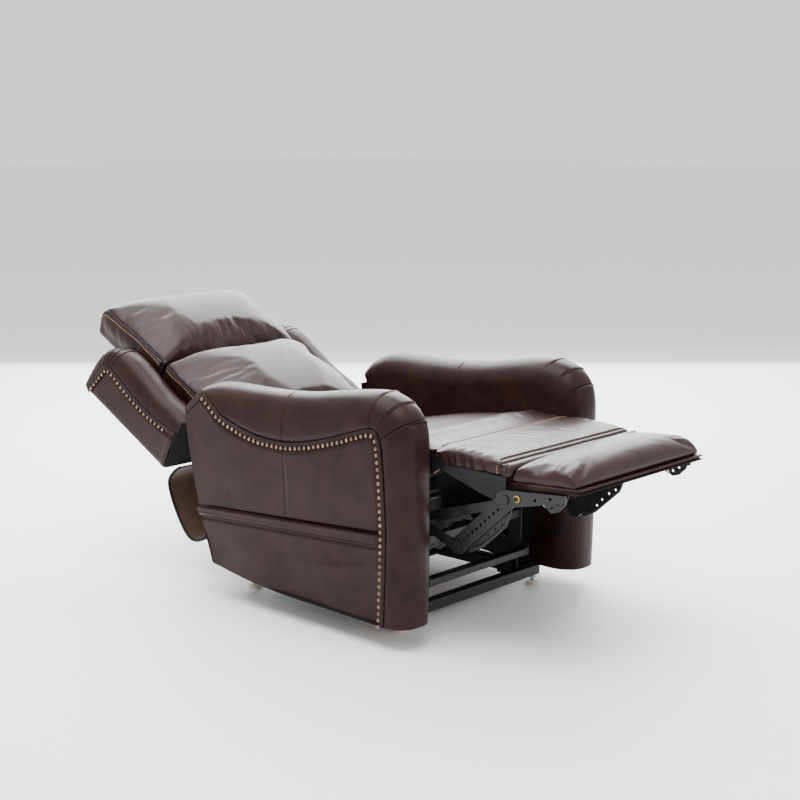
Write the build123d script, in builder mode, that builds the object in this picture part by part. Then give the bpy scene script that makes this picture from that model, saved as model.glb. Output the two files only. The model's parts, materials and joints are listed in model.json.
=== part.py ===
"""Power lift recliner chair, fully reclined with its footrest out and its base on the floor.

Frame: millimetres, +Z up, the chair faces -Y, X is its width, and the origin is on the floor
under the middle of the whole reclined chair. Side outlines are (Y, Z) points. Outlines of the
back are (along, out) points, measured up the back and out of its front from its lower rear corner.
"""

import os
from math import atan2, degrees, hypot

from build123d import *

os.makedirs("parts", exist_ok=True)

# ---------------------------------------------------------------- driving dimensions
HALF_WIDTH = 425
ARM_INNER = 284
ARM_CORE = (338, 370)
ARM_SKIN = 12
PAD_HALF = 266

# Pivots (Y, Z)
RISER_LOW = (-310, 59)
RISER_HIGH = (-278, 132)
CARRIAGE_LOW = (114, 56)
CARRIAGE_HIGH = (131, 156)
FOOT_HINGE = (-500, 480)
LEG_KNEE = (-530, 258)
LEG_ANKLE = (-699, 410)
LEG_HIP = (FOOT_HINGE[0] + LEG_KNEE[0] - LEG_ANKLE[0], FOOT_HINGE[1] + LEG_KNEE[1] - LEG_ANKLE[1])
BACK_HINGE = (200, 448)
MOTOR_PIVOT = (-330, 225)
ROD_PIVOT = (-60, 57)

# Layers of the flat linkage, as distances from the middle plane (inner face, outer face)
CARRIAGE_LAYER = (205, 211)
LOWER_LINK_LAYER = (219, 225)
RISER_LAYER = (227, 233)
UPPER_LINK_LAYER = (235, 241)
LEG_UPPER_LAYER = (247, 252)
LEG_LOWER_LAYER = (253, 258)
SEAT_PLATE_LAYER = (260, 266)
SWING_PLATE_LAYER = (268, 274)
ARM_PLATE_LAYER = (276, ARM_INNER)

PIN_RADIUS = 8
SMALL_PIN_RADIUS = 6
RUNNING_CLEARANCE = 0.05
OPEN_CLEARANCE = 7.5
BOSS_RADIUS = 22

# Base
TUBE = 30
TUBE_WALL = 2
BASE_FRONT = -376
BASE_REAR = 218
BASE_HALF = 297
TUBE_BOTTOM = 30
GLIDE_HEIGHT = 12

# Back: the plane's X runs up the back, its Y comes out of the back's front
BACK_CORNER = (473, 328)
BACK_ANGLE = 28.1
BACK_PLANE = Plane(
    origin=(0, *BACK_CORNER),
    x_dir=Vector(0, 1, 0).rotate(Axis.X, BACK_ANGLE),
    z_dir=(1, 0, 0),
)
BACK_HALF = 386
BACK_LENGTH = 392

SIDES = {"left": 1, "right": -1}


# ---------------------------------------------------------------- helpers
def slab(points, x_from, x_to, plane=Plane.YZ, mode=Mode.ADD):
    """Straight-sided outline, extruded across the chair."""
    with BuildSketch(plane.offset(x_from)) as profile:
        with BuildLine():
            Polyline(*points, close=True)
        make_face()
    extrude(profile.sketch, amount=x_to - x_from, mode=mode)


def curved_slab(curve, corners, x_from, x_to, plane=Plane.YZ):
    """Outline of one smooth curve, closed by straight lines through the corners."""
    with BuildSketch(plane.offset(x_from)) as profile:
        with BuildLine():
            Spline(*curve)
            Polyline(curve[-1], *corners, curve[0])
        make_face()
    extrude(profile.sketch, amount=x_to - x_from)


def disc(centre, radius, x_from, x_to, mode=Mode.ADD, plane=Plane.YZ):
    """Round bar or hole across the chair."""
    with BuildSketch(plane.offset(x_from)) as profile:
        with Locations(centre):
            Circle(radius)
    extrude(profile.sketch, amount=x_to - x_from, mode=mode)


def bar(start, end, width, x_from, x_to):
    """Flat bar with round ends, centred on the line from start to end."""
    length = hypot(end[0] - start[0], end[1] - start[1])
    angle = degrees(atan2(end[1] - start[1], end[0] - start[0]))
    with BuildSketch(Plane.YZ.offset(x_from)) as profile:
        with Locations(((start[0] + end[0]) / 2, (start[1] + end[1]) / 2)):
            SlotCenterToCenter(length, width, rotation=angle)
    extrude(profile.sketch, amount=x_to - x_from)


def along(start, end, fraction):
    """Point on the line from start to end."""
    return tuple(a + fraction * (b - a) for a, b in zip(start, end))


def pin(centre, radius, x_from, x_to, inner_head=4, outer_head=4, head_radius=14):
    """Headed pin across a stack of plates, on the side that x_from and x_to are on."""
    side = 1 if x_to > 0 else -1
    disc(centre, radius, x_from, x_to)
    if inner_head:
        disc(centre, head_radius, x_from - side * inner_head, x_from)
    if outer_head:
        disc(centre, head_radius, x_to, x_to + side * outer_head)


def box_between(low, high, mode=Mode.ADD):
    """Box from its low corner to its high corner."""
    size = [b - a for a, b in zip(low, high)]
    middle = tuple((a + b) / 2 for a, b in zip(low, high))
    with Locations(middle):
        Box(*size, mode=mode)


def cross_tube(y_from, y_to, z_from, z_to, half_length):
    """Rectangular steel tube across the chair."""
    with BuildSketch(Plane.YZ.offset(-half_length)) as profile:
        with Locations(((y_from + y_to) / 2, (z_from + z_to) / 2)):
            RectangleRounded(y_to - y_from, z_to - z_from, 3)
            Rectangle(y_to - y_from - 2 * TUBE_WALL, z_to - z_from - 2 * TUBE_WALL, mode=Mode.SUBTRACT)
    extrude(profile.sketch, amount=2 * half_length)


def round_ends(builder, radius):
    """Round the smooth front edges at both ends of a cushion."""
    ends = builder.faces().sort_by(Axis.X)
    smooth = ends[0].edges().filter_by(GeomType.BSPLINE) + ends[-1].edges().filter_by(GeomType.BSPLINE)
    fillet(smooth, radius)


def save(part, name):
    """Label one finished piece and write its file."""
    part.label = name
    export_step(part, f"parts/{name}.step")


def layer(side, faces):
    """Signed X of a layer's inner and outer faces."""
    return side * faces[0], side * faces[1]


# ---------------------------------------------------------------- base on the floor
with BuildPart() as base_front_tube:
    cross_tube(BASE_FRONT, BASE_FRONT + TUBE, TUBE_BOTTOM, TUBE_BOTTOM + TUBE, BASE_HALF)
save(base_front_tube.part, "base_front_tube")

with BuildPart() as base_rear_tube:
    cross_tube(BASE_REAR - TUBE, BASE_REAR, TUBE_BOTTOM, TUBE_BOTTOM + TUBE, BASE_HALF)
save(base_rear_tube.part, "base_rear_tube")

FOOT_X = BASE_HALF - TUBE / 2
FOOT_Y = {"front": BASE_FRONT + TUBE / 2, "rear": BASE_REAR - TUBE / 2}

with BuildPart() as base_side_rails:
    for side in SIDES.values():
        with BuildSketch(Plane.XZ.offset(-(BASE_REAR - TUBE))) as profile:
            with Locations((side * FOOT_X, TUBE_BOTTOM + TUBE / 2)):
                RectangleRounded(TUBE, TUBE, 3)
                Rectangle(TUBE - 2 * TUBE_WALL, TUBE - 2 * TUBE_WALL, mode=Mode.SUBTRACT)
        extrude(profile.sketch, amount=BASE_REAR - BASE_FRONT - 2 * TUBE)
save(base_side_rails.part, "base_side_rails")

RISER_FRONT = BASE_FRONT + TUBE
RISER_OUTLINE = [
    (RISER_FRONT, 32), (RISER_FRONT, 110), (-303, 160), (-262, 160), (-246, 130), (-268, 60), (-276, 32),
]
with BuildPart() as riser_plates:
    for side in SIDES.values():
        faces = layer(side, RISER_LAYER)
        slab(RISER_OUTLINE, *faces)
        disc(RISER_LOW, PIN_RADIUS, *faces, mode=Mode.SUBTRACT)
        disc(RISER_HIGH, PIN_RADIUS, *faces, mode=Mode.SUBTRACT)
save(riser_plates.part, "riser_plates")

with BuildPart() as foot_glides:
    for side in SIDES.values():
        for y in FOOT_Y.values():
            with Locations((side * FOOT_X, y, 0)):
                Cylinder(18, GLIDE_HEIGHT, align=(Align.CENTER, Align.CENTER, Align.MIN))
    chamfer(foot_glides.edges().group_by(Axis.Z)[-1], 3)
save(foot_glides.part, "foot_glides")

with BuildPart() as foot_studs:
    for side in SIDES.values():
        for y in FOOT_Y.values():
            with Locations((side * FOOT_X, y, GLIDE_HEIGHT)):
                Cylinder(5, TUBE_BOTTOM - GLIDE_HEIGHT, align=(Align.CENTER, Align.CENTER, Align.MIN))
            with BuildSketch(Plane.XY.offset(GLIDE_HEIGHT + 8)) as nut:
                with Locations((side * FOOT_X, y)):
                    RegularPolygon(9, 6)
            extrude(nut.sketch, amount=6)
save(foot_studs.part, "foot_studs")

with BuildPart() as riser_pins:
    for side in SIDES.values():
        low_from = side * LOWER_LINK_LAYER[0]
        pin(RISER_LOW, PIN_RADIUS, low_from, side * RISER_LAYER[1], head_radius=20)
        high_from = side * RISER_LAYER[0]
        pin(RISER_HIGH, PIN_RADIUS, high_from, side * UPPER_LINK_LAYER[1], inner_head=0, head_radius=20)
save(riser_pins.part, "riser_pins")

# ---------------------------------------------------------------- lift links
with BuildPart() as lower_lift_links:
    for side in SIDES.values():
        faces = layer(side, LOWER_LINK_LAYER)
        bar(RISER_LOW, CARRIAGE_LOW, 2 * BOSS_RADIUS - 12, *faces)
        for pivot in (RISER_LOW, CARRIAGE_LOW):
            disc(pivot, BOSS_RADIUS, *faces)
            disc(pivot, PIN_RADIUS + RUNNING_CLEARANCE, *faces, mode=Mode.SUBTRACT)
save(lower_lift_links.part, "lower_lift_links")

with BuildPart() as upper_lift_links:
    for side in SIDES.values():
        faces = layer(side, UPPER_LINK_LAYER)
        bar(RISER_HIGH, CARRIAGE_HIGH, 2 * BOSS_RADIUS - 12, *faces)
        disc(RISER_HIGH, BOSS_RADIUS, *faces)
        disc(CARRIAGE_HIGH, BOSS_RADIUS + 2, *faces)
        disc(RISER_HIGH, PIN_RADIUS + RUNNING_CLEARANCE, *faces, mode=Mode.SUBTRACT)
        disc(CARRIAGE_HIGH, PIN_RADIUS + OPEN_CLEARANCE, *faces, mode=Mode.SUBTRACT)
save(upper_lift_links.part, "upper_lift_links")

# Round tube that ties the two lower links together, and takes the push of the lift motor
TIE_RADIUS = 11
with BuildPart() as lower_link_tie:
    disc(ROD_PIVOT, TIE_RADIUS, -LOWER_LINK_LAYER[0], LOWER_LINK_LAYER[0])
    disc(ROD_PIVOT, TIE_RADIUS - 3, -LOWER_LINK_LAYER[0], LOWER_LINK_LAYER[0], mode=Mode.SUBTRACT)
save(lower_link_tie.part, "lower_link_tie")

# ---------------------------------------------------------------- carriage under the seat
CARRIAGE_FRONT = (-401, -371)
CARRIAGE_TUBE_Z = (111, 131)
MOTOR_TUBE_Y = (-372, -347)
MOTOR_TUBE_Z = (214, 239)
CARRIAGE_OUTLINE = [
    (-401, 111), (-401, 133), (-376, 150), (-376, 243), (-343, 243), (-330, 152), (-230, 176), (-90, 186),
    (-90, 250), (-30, 250), (0, 186), (90, 186), (110, 250), (178, 250), (158, 150), (140, 40), (92, 34),
    (60, 100), (-300, 100),
]
with BuildPart() as carriage_plates:
    for side in SIDES.values():
        faces = layer(side, CARRIAGE_LAYER)
        slab(CARRIAGE_OUTLINE, *faces)
        disc(CARRIAGE_LOW, PIN_RADIUS, *faces, mode=Mode.SUBTRACT)
        disc(CARRIAGE_HIGH, PIN_RADIUS, *faces, mode=Mode.SUBTRACT)
save(carriage_plates.part, "carriage_plates")

with BuildPart() as carriage_cross_tubes:
    cross_tube(*CARRIAGE_FRONT, *CARRIAGE_TUBE_Z, CARRIAGE_LAYER[0])
    cross_tube(*MOTOR_TUBE_Y, *MOTOR_TUBE_Z, CARRIAGE_LAYER[0])
save(carriage_cross_tubes.part, "carriage_cross_tubes")

with BuildPart() as carriage_pins:
    for side in SIDES.values():
        start = side * CARRIAGE_LAYER[0]
        pin(CARRIAGE_LOW, PIN_RADIUS, start, side * LOWER_LINK_LAYER[1])
        pin(CARRIAGE_HIGH, PIN_RADIUS, start, side * UPPER_LINK_LAYER[1], head_radius=20)
save(carriage_pins.part, "carriage_pins")

SEAT_RAIL_Z = (250, 280)
with BuildPart() as seat_cross_rails:
    for y_from in (-75, 125):
        cross_tube(y_from, y_from + TUBE, *SEAT_RAIL_Z, SEAT_PLATE_LAYER[0])
save(seat_cross_rails.part, "seat_cross_rails")

# The pin that each lower leg link turns on is riveted into the seat plate
SEAT_PLATE_OUTLINE = [
    (-396, 300), (-420, 400), (-390, 424), (190, 310), (232, 300), (236, 240), (150, 228), (-300, 270),
]
with BuildPart() as seat_plates:
    for side in SIDES.values():
        slab(SEAT_PLATE_OUTLINE, *layer(side, SEAT_PLATE_LAYER))
        pin(LEG_HIP, SMALL_PIN_RADIUS, side * LEG_LOWER_LAYER[0], side * SEAT_PLATE_LAYER[1], 0, 4, 13)
save(seat_plates.part, "seat_plates")

with BuildPart() as seat_plate_blocks:
    for side in SIDES.values():
        for y in (-180, 60):
            low, high = sorted((side * SEAT_PLATE_LAYER[1], side * ARM_INNER))
            box_between((low, y, 262), (high, y + 60, 302))
save(seat_plate_blocks.part, "seat_plate_blocks")

SEAT_BOTTOM_FRONT = (-466, 462)
SEAT_BOTTOM_REAR = (178, 336)
with BuildPart() as seat_deck:
    outline = [
        (-456, 456), (-456, 436), (-396, 424.6), (184, 310.6), (184, 334),
    ]
    slab(outline, -258, 258)
save(seat_deck.part, "seat_deck")

with BuildPart() as seat_cushion:
    top = [(-480, 505), (-462, 518), (-340, 506), (-215, 487), (-70, 462), (72, 438), (150, 428), (178, 412)]
    curved_slab(top, [SEAT_BOTTOM_REAR, SEAT_BOTTOM_FRONT, (-480, 478)], -PAD_HALF, PAD_HALF)
    round_ends(seat_cushion, 8)
save(seat_cushion.part, "seat_cushion")

with BuildPart() as front_dust_panel:
    box_between((-240, -461, 300), (240, -456.5, 455))
save(front_dust_panel.part, "front_dust_panel")

# ---------------------------------------------------------------- arms
ARM_RIDGE = [
    (325, 566), (228, 605), (115, 606), (-41, 611), (-156, 623), (-280, 643),
    (-395, 652), (-453, 632), (-487, 595), (-500, 540), (-500, 300), (-497, 59),
]
ROLL_LINE = [
    (-432, 59), (-436, 307), (-428, 458), (-414, 540), (-387, 560), (-321, 542), (-237, 515),
    (-127, 489), (-37, 482), (56, 489), (165, 506), (240, 508), (300, 490), (322, 503),
]
ARM_BOTTOM = [(222, 101), (-89, 69)]
ARM_REAR = [(313, 470), (275, 260)]


def arm_panel(x_from, x_to):
    """Flat panel inside the arm's padded roll."""
    slab([*ROLL_LINE[:-1], *ARM_REAR, *ARM_BOTTOM], x_from, x_to)


for name, side in SIDES.items():
    with BuildPart() as arm_roll:
        curved_slab(ARM_RIDGE, ROLL_LINE, side * ARM_INNER, side * HALF_WIDTH)
        ridge_edges = arm_roll.edges().filter_by(GeomType.BSPLINE)
        fillet(ridge_edges, 40)
    save(arm_roll.part, f"{name}_arm_roll")

    with BuildPart() as arm_frame:
        arm_panel(side * ARM_CORE[0], side * ARM_CORE[1])
    save(arm_frame.part, f"{name}_arm_frame")

    with BuildPart() as outer_panel:
        arm_panel(side * (HALF_WIDTH - ARM_SKIN), side * HALF_WIDTH)
    save(outer_panel.part, f"{name}_arm_outer_panel")

    with BuildPart() as inner_panel:
        arm_panel(side * ARM_INNER, side * (ARM_INNER + ARM_SKIN))
    save(inner_panel.part, f"{name}_arm_inner_panel")

with BuildPart() as foot_hinge_plates:
    for side in SIDES.values():
        faces = layer(side, ARM_PLATE_LAYER)
        slab([(-500, 465), (-500, 495), (-400, 470), (-330, 440), (-330, 380), (-420, 400)], *faces)
        disc(FOOT_HINGE, 15, *faces)
        disc(FOOT_HINGE, SMALL_PIN_RADIUS + RUNNING_CLEARANCE, *faces, mode=Mode.SUBTRACT)
save(foot_hinge_plates.part, "foot_hinge_plates")

with BuildPart() as back_hinge_plates:
    for side in SIDES.values():
        faces = layer(side, ARM_PLATE_LAYER)
        slab([(178, 448), (222, 448), (250, 330), (236, 260), (150, 260), (150, 330)], *faces)
        disc(BACK_HINGE, BOSS_RADIUS, *faces)
        disc(BACK_HINGE, SMALL_PIN_RADIUS + RUNNING_CLEARANCE, *faces, mode=Mode.SUBTRACT)
save(back_hinge_plates.part, "back_hinge_plates")

# ---------------------------------------------------------------- control box and rear flap
with BuildPart() as control_box:
    box_between((-70, -100, 208), (70, -5, SEAT_RAIL_Z[0]))
    fillet(control_box.edges().filter_by(Axis.Z), 8)
save(control_box.part, "control_box")

FLAP_THICKNESS = 5
FLAP_HALF = 318
FLAP_LINE = [
    (478, 314), (509, 296), (531, 258), (500, 180), (445, 112), (385, 116), (335, 170), (297, 222),
]
with BuildPart() as rear_flap:
    with BuildSketch(Plane.YZ.offset(-FLAP_HALF)) as flap_profile:
        with BuildLine() as flap_line:
            Spline(*FLAP_LINE)
        trace(flap_line.line, FLAP_THICKNESS)
    extrude(flap_profile.sketch, amount=2 * FLAP_HALF)
save(rear_flap.part, "rear_flap")

with BuildPart() as flap_batten:
    slab([(200, 262), (200, 274), (294, 238), (289, 222)], -SEAT_PLATE_LAYER[0], SEAT_PLATE_LAYER[0])
save(flap_batten.part, "flap_batten")

# ---------------------------------------------------------------- back
BACK_HINGE_LOCAL = BACK_PLANE.to_local_coords(Vector(0, *BACK_HINGE))
BACK_HINGE_AT = (BACK_HINGE_LOCAL.X, BACK_HINGE_LOCAL.Y)
SIDE_PLATE_FACE = SWING_PLATE_LAYER[0]
with BuildPart() as back_frame:
    slab([(10, 12), (392, 12), (380, 84), (10, 84)], -SIDE_PLATE_FACE, SIDE_PLATE_FACE, BACK_PLANE)
    slab([(-140, 95), (10, 70), (10, 130), (-140, 135)], -SIDE_PLATE_FACE, SIDE_PLATE_FACE, BACK_PLANE)
save(back_frame.part, "back_frame")

with BuildPart() as back_rear_panel:
    slab([(0, 0), (BACK_LENGTH, 0), (BACK_LENGTH, 11), (0, 11)], -374, 374, BACK_PLANE)
save(back_rear_panel.part, "back_rear_panel")

WING_FRONT = [(-4, 166), (52, 168), (110, 166), (180, 172), (240, 180), (295, 183), (350, 174), (400, 145)]
WING_INNER = 276
WING_SKIN = 12
WING_PANEL = [
    (0, 0), (400, 0), (394, 30), (354, 115), (301, 115), (210, 104), (132, 102), (52, 110), (0, 118),
]
for name, side in SIDES.items():
    with BuildPart() as wing_pad:
        curved_slab(WING_FRONT, [(435, 7), *WING_PANEL[1:]], side * WING_INNER, side * BACK_HALF, BACK_PLANE)
        fillet(wing_pad.edges().filter_by(GeomType.BSPLINE), 30)
    save(wing_pad.part, f"{name}_wing_pad")

    with BuildPart() as wing_panel:
        slab(WING_PANEL, side * (BACK_HALF - WING_SKIN), side * BACK_HALF, BACK_PLANE)
    save(wing_panel.part, f"{name}_wing_panel")

WING_FRAME = [(10, 12), (388, 12), (350, 112), (301, 112), (210, 101), (132, 99), (52, 107), (10, 112)]
with BuildPart() as wing_frames:
    for side in SIDES.values():
        slab(WING_FRAME, side * WING_INNER, side * (WING_INNER + 30), BACK_PLANE)
save(wing_frames.part, "wing_frames")

WING_COVER = [(-4, 2), (0, 2), (0, 117), (-4.1, 164), (-7.5, 162), (-4, 117)]
with BuildPart() as wing_end_covers:
    for side in SIDES.values():
        slab(WING_COVER, side * (WING_INNER + 4), side * (BACK_HALF - 4), BACK_PLANE)
save(wing_end_covers.part, "wing_end_covers")

# The stub that the back turns on is welded into its side plate
hinge_s, hinge_t = BACK_HINGE_AT
SIDE_PLATE = [
    (hinge_s - 14, hinge_t - 14), (-150, 95), (60, 60), (60, 110), (-100, 150), (hinge_s + 14, hinge_t + 8),
]
with BuildPart() as back_side_plates:
    for side in SIDES.values():
        faces = layer(side, SWING_PLATE_LAYER)
        slab(SIDE_PLATE, *faces, BACK_PLANE)
        disc(BACK_HINGE, 20, *faces)
        disc(BACK_HINGE, SMALL_PIN_RADIUS, side * SIDE_PLATE_FACE, side * ARM_INNER)
save(back_side_plates.part, "back_side_plates")

with BuildPart() as back_cushion:
    front = [
        (-166, 214), (-150, 240), (-90, 260), (0, 268), (90, 264), (176, 249), (218, 230), (229, 200),
    ]
    curved_slab(front, [(229, 130), (20, 132), (-130, 138), (-160, 165)], -PAD_HALF, PAD_HALF, BACK_PLANE)
    round_ends(back_cushion, 12)
save(back_cushion.part, "back_cushion")

# ---------------------------------------------------------------- headrest
HEAD_HALF = 260
HEAD_HINGE = (244, 182)
HEAD_PLATE_LAYER = (262, 266)
HEAD_PIN_RADIUS = 4
with BuildPart() as headrest_frame:
    board = [(243, 90), (540, 90), (540, 108), (243, 108)]
    slab(board, -HEAD_PLATE_LAYER[1], HEAD_PLATE_LAYER[1], BACK_PLANE)
save(headrest_frame.part, "headrest_frame")

with BuildPart() as headrest_plates:
    for side in SIDES.values():
        slab([(246, 108), (300, 108), (254, 178), (240, 178)], *layer(side, HEAD_PLATE_LAYER), BACK_PLANE)
        disc(HEAD_HINGE, 8, *layer(side, HEAD_PLATE_LAYER), plane=BACK_PLANE)
        stub = (side * HEAD_PLATE_LAYER[0], side * SWING_PLATE_LAYER[1])
        disc(HEAD_HINGE, HEAD_PIN_RADIUS, *stub, plane=BACK_PLANE)
save(headrest_plates.part, "headrest_plates")

with BuildPart() as headrest_brackets:
    for side in SIDES.values():
        faces = layer(side, SWING_PLATE_LAYER)
        slab([(232, 20), (262, 20), (252, 180), (236, 180)], *faces, BACK_PLANE)
        disc(HEAD_HINGE, 8, *faces, plane=BACK_PLANE)
        disc(HEAD_HINGE, HEAD_PIN_RADIUS + RUNNING_CLEARANCE, *faces, Mode.SUBTRACT, BACK_PLANE)
save(headrest_brackets.part, "headrest_brackets")

with BuildPart() as headrest_cushion:
    front = [
        (241, 190), (252, 222), (300, 240), (380, 246), (460, 238), (520, 214), (550, 180), (553, 125),
    ]
    curved_slab(front, [(545, 108.5), (241, 108.5)], -HEAD_HALF, HEAD_HALF, BACK_PLANE)
    round_ends(headrest_cushion, 14)
save(headrest_cushion.part, "headrest_cushion")

# ---------------------------------------------------------------- leg linkage
HOLE_COUNT = 9
BRACE_END = (-444, 322)
with BuildPart() as leg_lower_links:
    for side in SIDES.values():
        faces = layer(side, LEG_LOWER_LAYER)
        bar(LEG_HIP, LEG_KNEE, 26, *faces)
        disc(LEG_KNEE, 17, *faces)
        for pivot in (LEG_HIP, LEG_KNEE):
            disc(pivot, SMALL_PIN_RADIUS + RUNNING_CLEARANCE, *faces, mode=Mode.SUBTRACT)
save(leg_lower_links.part, "leg_lower_links")

with BuildPart() as leg_upper_links:
    for side in SIDES.values():
        faces = layer(side, LEG_UPPER_LAYER)
        bar(LEG_KNEE, LEG_ANKLE, 44, *faces)
        bar(BRACE_END, along(LEG_KNEE, LEG_ANKLE, 0.9), 24, *faces)
        for pivot in (LEG_KNEE, LEG_ANKLE):
            disc(pivot, SMALL_PIN_RADIUS, *faces, mode=Mode.SUBTRACT)
        for step in range(1, HOLE_COUNT + 1):
            disc(along(LEG_KNEE, LEG_ANKLE, 0.08 * step + 0.05), 4, *faces, mode=Mode.SUBTRACT)
save(leg_upper_links.part, "leg_upper_links")

with BuildPart() as leg_drive_tube:
    disc(LEG_HIP, 10, -LEG_LOWER_LAYER[0], LEG_LOWER_LAYER[0])
    disc(LEG_HIP, 7, -LEG_LOWER_LAYER[0], LEG_LOWER_LAYER[0], mode=Mode.SUBTRACT)
save(leg_drive_tube.part, "leg_drive_tube")

with BuildPart() as leg_link_pins:
    for side in SIDES.values():
        pin(LEG_KNEE, SMALL_PIN_RADIUS, side * LEG_UPPER_LAYER[0], side * LEG_LOWER_LAYER[1], 0, 3, 13)
        pin(LEG_ANKLE, SMALL_PIN_RADIUS, side * LEG_UPPER_LAYER[0], side * SWING_PLATE_LAYER[1], 3, 4, 13)
save(leg_link_pins.part, "leg_link_pins")

# ---------------------------------------------------------------- footrest
ARM_OUTLINE = [
    (-486, 470), (-486, 490), (-514, 490), (-570, 462), (-690, 436), (-712, 436), (-880, 449.5),
    (-880, 432), (-735, 398), (-690, 396), (-560, 440),
]
with BuildPart() as footrest_arms:
    for side in SIDES.values():
        faces = layer(side, SWING_PLATE_LAYER)
        slab(ARM_OUTLINE, *faces)
        disc(FOOT_HINGE, 14, *faces)
        disc(LEG_ANKLE, 18, *faces)
        disc(FOOT_HINGE, SMALL_PIN_RADIUS, side * SWING_PLATE_LAYER[0], side * ARM_INNER)
        disc(LEG_ANKLE, SMALL_PIN_RADIUS + RUNNING_CLEARANCE, *faces, mode=Mode.SUBTRACT)
        disc((-836, 436), 5, *faces, mode=Mode.SUBTRACT)
        disc((-790, 425), 5, *faces, mode=Mode.SUBTRACT)
save(footrest_arms.part, "footrest_arms")

with BuildPart() as footrest_board:
    slab([(-712, 436), (-907, 452), (-906, 467), (-712, 455)], -SIDE_PLATE_FACE, SIDE_PLATE_FACE)
save(footrest_board.part, "footrest_board")

with BuildPart() as footrest_pad:
    front = [(-712, 480), (-723, 500), (-780, 513), (-850, 517), (-892, 507), (-908, 483)]
    curved_slab(front, [(-906, 467.2), (-712, 455.2)], -270, 270)
    round_ends(footrest_pad, 4)
save(footrest_pad.part, "footrest_pad")

with BuildPart() as footrest_roll:
    disc((-699, 480), 12, -PAD_HALF, PAD_HALF)
save(footrest_roll.part, "footrest_roll")

with BuildPart() as chaise_pad:
    slab([(-505, 470), (-505, 513), (-570, 517), (-683, 507), (-686, 470)], -PAD_HALF, PAD_HALF)
    fillet(chaise_pad.edges(), 7)
save(chaise_pad.part, "chaise_pad")

# ---------------------------------------------------------------- lift motor
MOTOR_ANGLE = degrees(atan2(ROD_PIVOT[1] - MOTOR_PIVOT[1], ROD_PIVOT[0] - MOTOR_PIVOT[0]))
MOTOR_LENGTH = hypot(ROD_PIVOT[0] - MOTOR_PIVOT[0], ROD_PIVOT[1] - MOTOR_PIVOT[1])
MOTOR_PLANE = Plane(
    origin=(0, *MOTOR_PIVOT),
    x_dir=(1, 0, 0),
    z_dir=Vector(0, 1, 0).rotate(Axis.X, MOTOR_ANGLE),
)
CLEVIS_GAP = 26
CLEVIS_WALL = 5
TUBE_OUTER = 17
TUBE_INNER = 12
ROD_RADIUS = 9
GEARBOX_START = 24
GEARBOX_END = 74
TUBE_END = MOTOR_LENGTH - 62
EYE_RADIUS = TIE_RADIUS + OPEN_CLEARANCE + 7
MOTOR_CAN_OFFSET = 56

with BuildPart() as motor_clevis:
    for side in SIDES.values():
        inner = side * CLEVIS_GAP / 2
        faces = (inner, inner + side * CLEVIS_WALL)
        slab([(MOTOR_TUBE_Y[1], 214), (MOTOR_TUBE_Y[1], 239), (-330, 239), (-330, 211)], *faces)
        disc(MOTOR_PIVOT, 14, *faces)
    disc(MOTOR_PIVOT, SMALL_PIN_RADIUS + RUNNING_CLEARANCE, -CLEVIS_GAP, CLEVIS_GAP, mode=Mode.SUBTRACT)
save(motor_clevis.part, "motor_clevis")

with BuildPart() as motor_clevis_pin:
    disc(MOTOR_PIVOT, SMALL_PIN_RADIUS, -18.5, 18.5)
    for side in SIDES.values():
        disc(MOTOR_PIVOT, 9, side * 18.5, side * 21.5)
save(motor_clevis_pin.part, "motor_clevis_pin")

with BuildPart() as motor_housing:
    disc(MOTOR_PIVOT, 11, -12.5, 12.5)
    with BuildSketch(MOTOR_PLANE.offset(4)) as neck:
        Rectangle(25, 20)
    extrude(neck.sketch, amount=GEARBOX_START)
    with BuildSketch(MOTOR_PLANE.offset(GEARBOX_START)) as gearbox:
        with Locations((MOTOR_CAN_OFFSET / 2 - 4, 0)):
            RectangleRounded(MOTOR_CAN_OFFSET + 60, 58, 14)
    extrude(gearbox.sketch, amount=GEARBOX_END - GEARBOX_START)
    with BuildSketch(MOTOR_PLANE.offset(GEARBOX_END)) as motor_can:
        with Locations((MOTOR_CAN_OFFSET, 0)):
            Circle(21)
    extrude(motor_can.sketch, amount=88)
    disc(MOTOR_PIVOT, SMALL_PIN_RADIUS, -CLEVIS_GAP, CLEVIS_GAP, mode=Mode.SUBTRACT)
save(motor_housing.part, "motor_housing")

with BuildPart() as motor_tube:
    with BuildSketch(MOTOR_PLANE.offset(GEARBOX_END)) as tube_ring:
        Circle(TUBE_OUTER)
        Circle(TUBE_INNER, mode=Mode.SUBTRACT)
    extrude(tube_ring.sketch, amount=TUBE_END - GEARBOX_END)
save(motor_tube.part, "motor_tube")

with BuildPart() as motor_rod:
    with BuildSketch(MOTOR_PLANE.offset(GEARBOX_END + 10)) as rod_section:
        Circle(ROD_RADIUS)
    extrude(rod_section.sketch, amount=MOTOR_LENGTH - GEARBOX_END - 10 - TIE_RADIUS - OPEN_CLEARANCE - 2)
    disc(ROD_PIVOT, EYE_RADIUS, -12, 12)
    disc(ROD_PIVOT, TIE_RADIUS + OPEN_CLEARANCE, -12, 12, mode=Mode.SUBTRACT)
save(motor_rod.part, "motor_rod")
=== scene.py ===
"""Looks of a leather lift recliner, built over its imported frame, in metres.

The chair faces -Y and X is its width. Side outlines are (Y, Z) points. Outlines of the back are
(along, out) points, measured up the back and out of its front from its lower rear corner.
"""

import json
import math

import bmesh
import bpy
import numpy as np
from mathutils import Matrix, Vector
from mathutils.bvhtree import BVHTree
from mathutils.kdtree import KDTree


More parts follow.
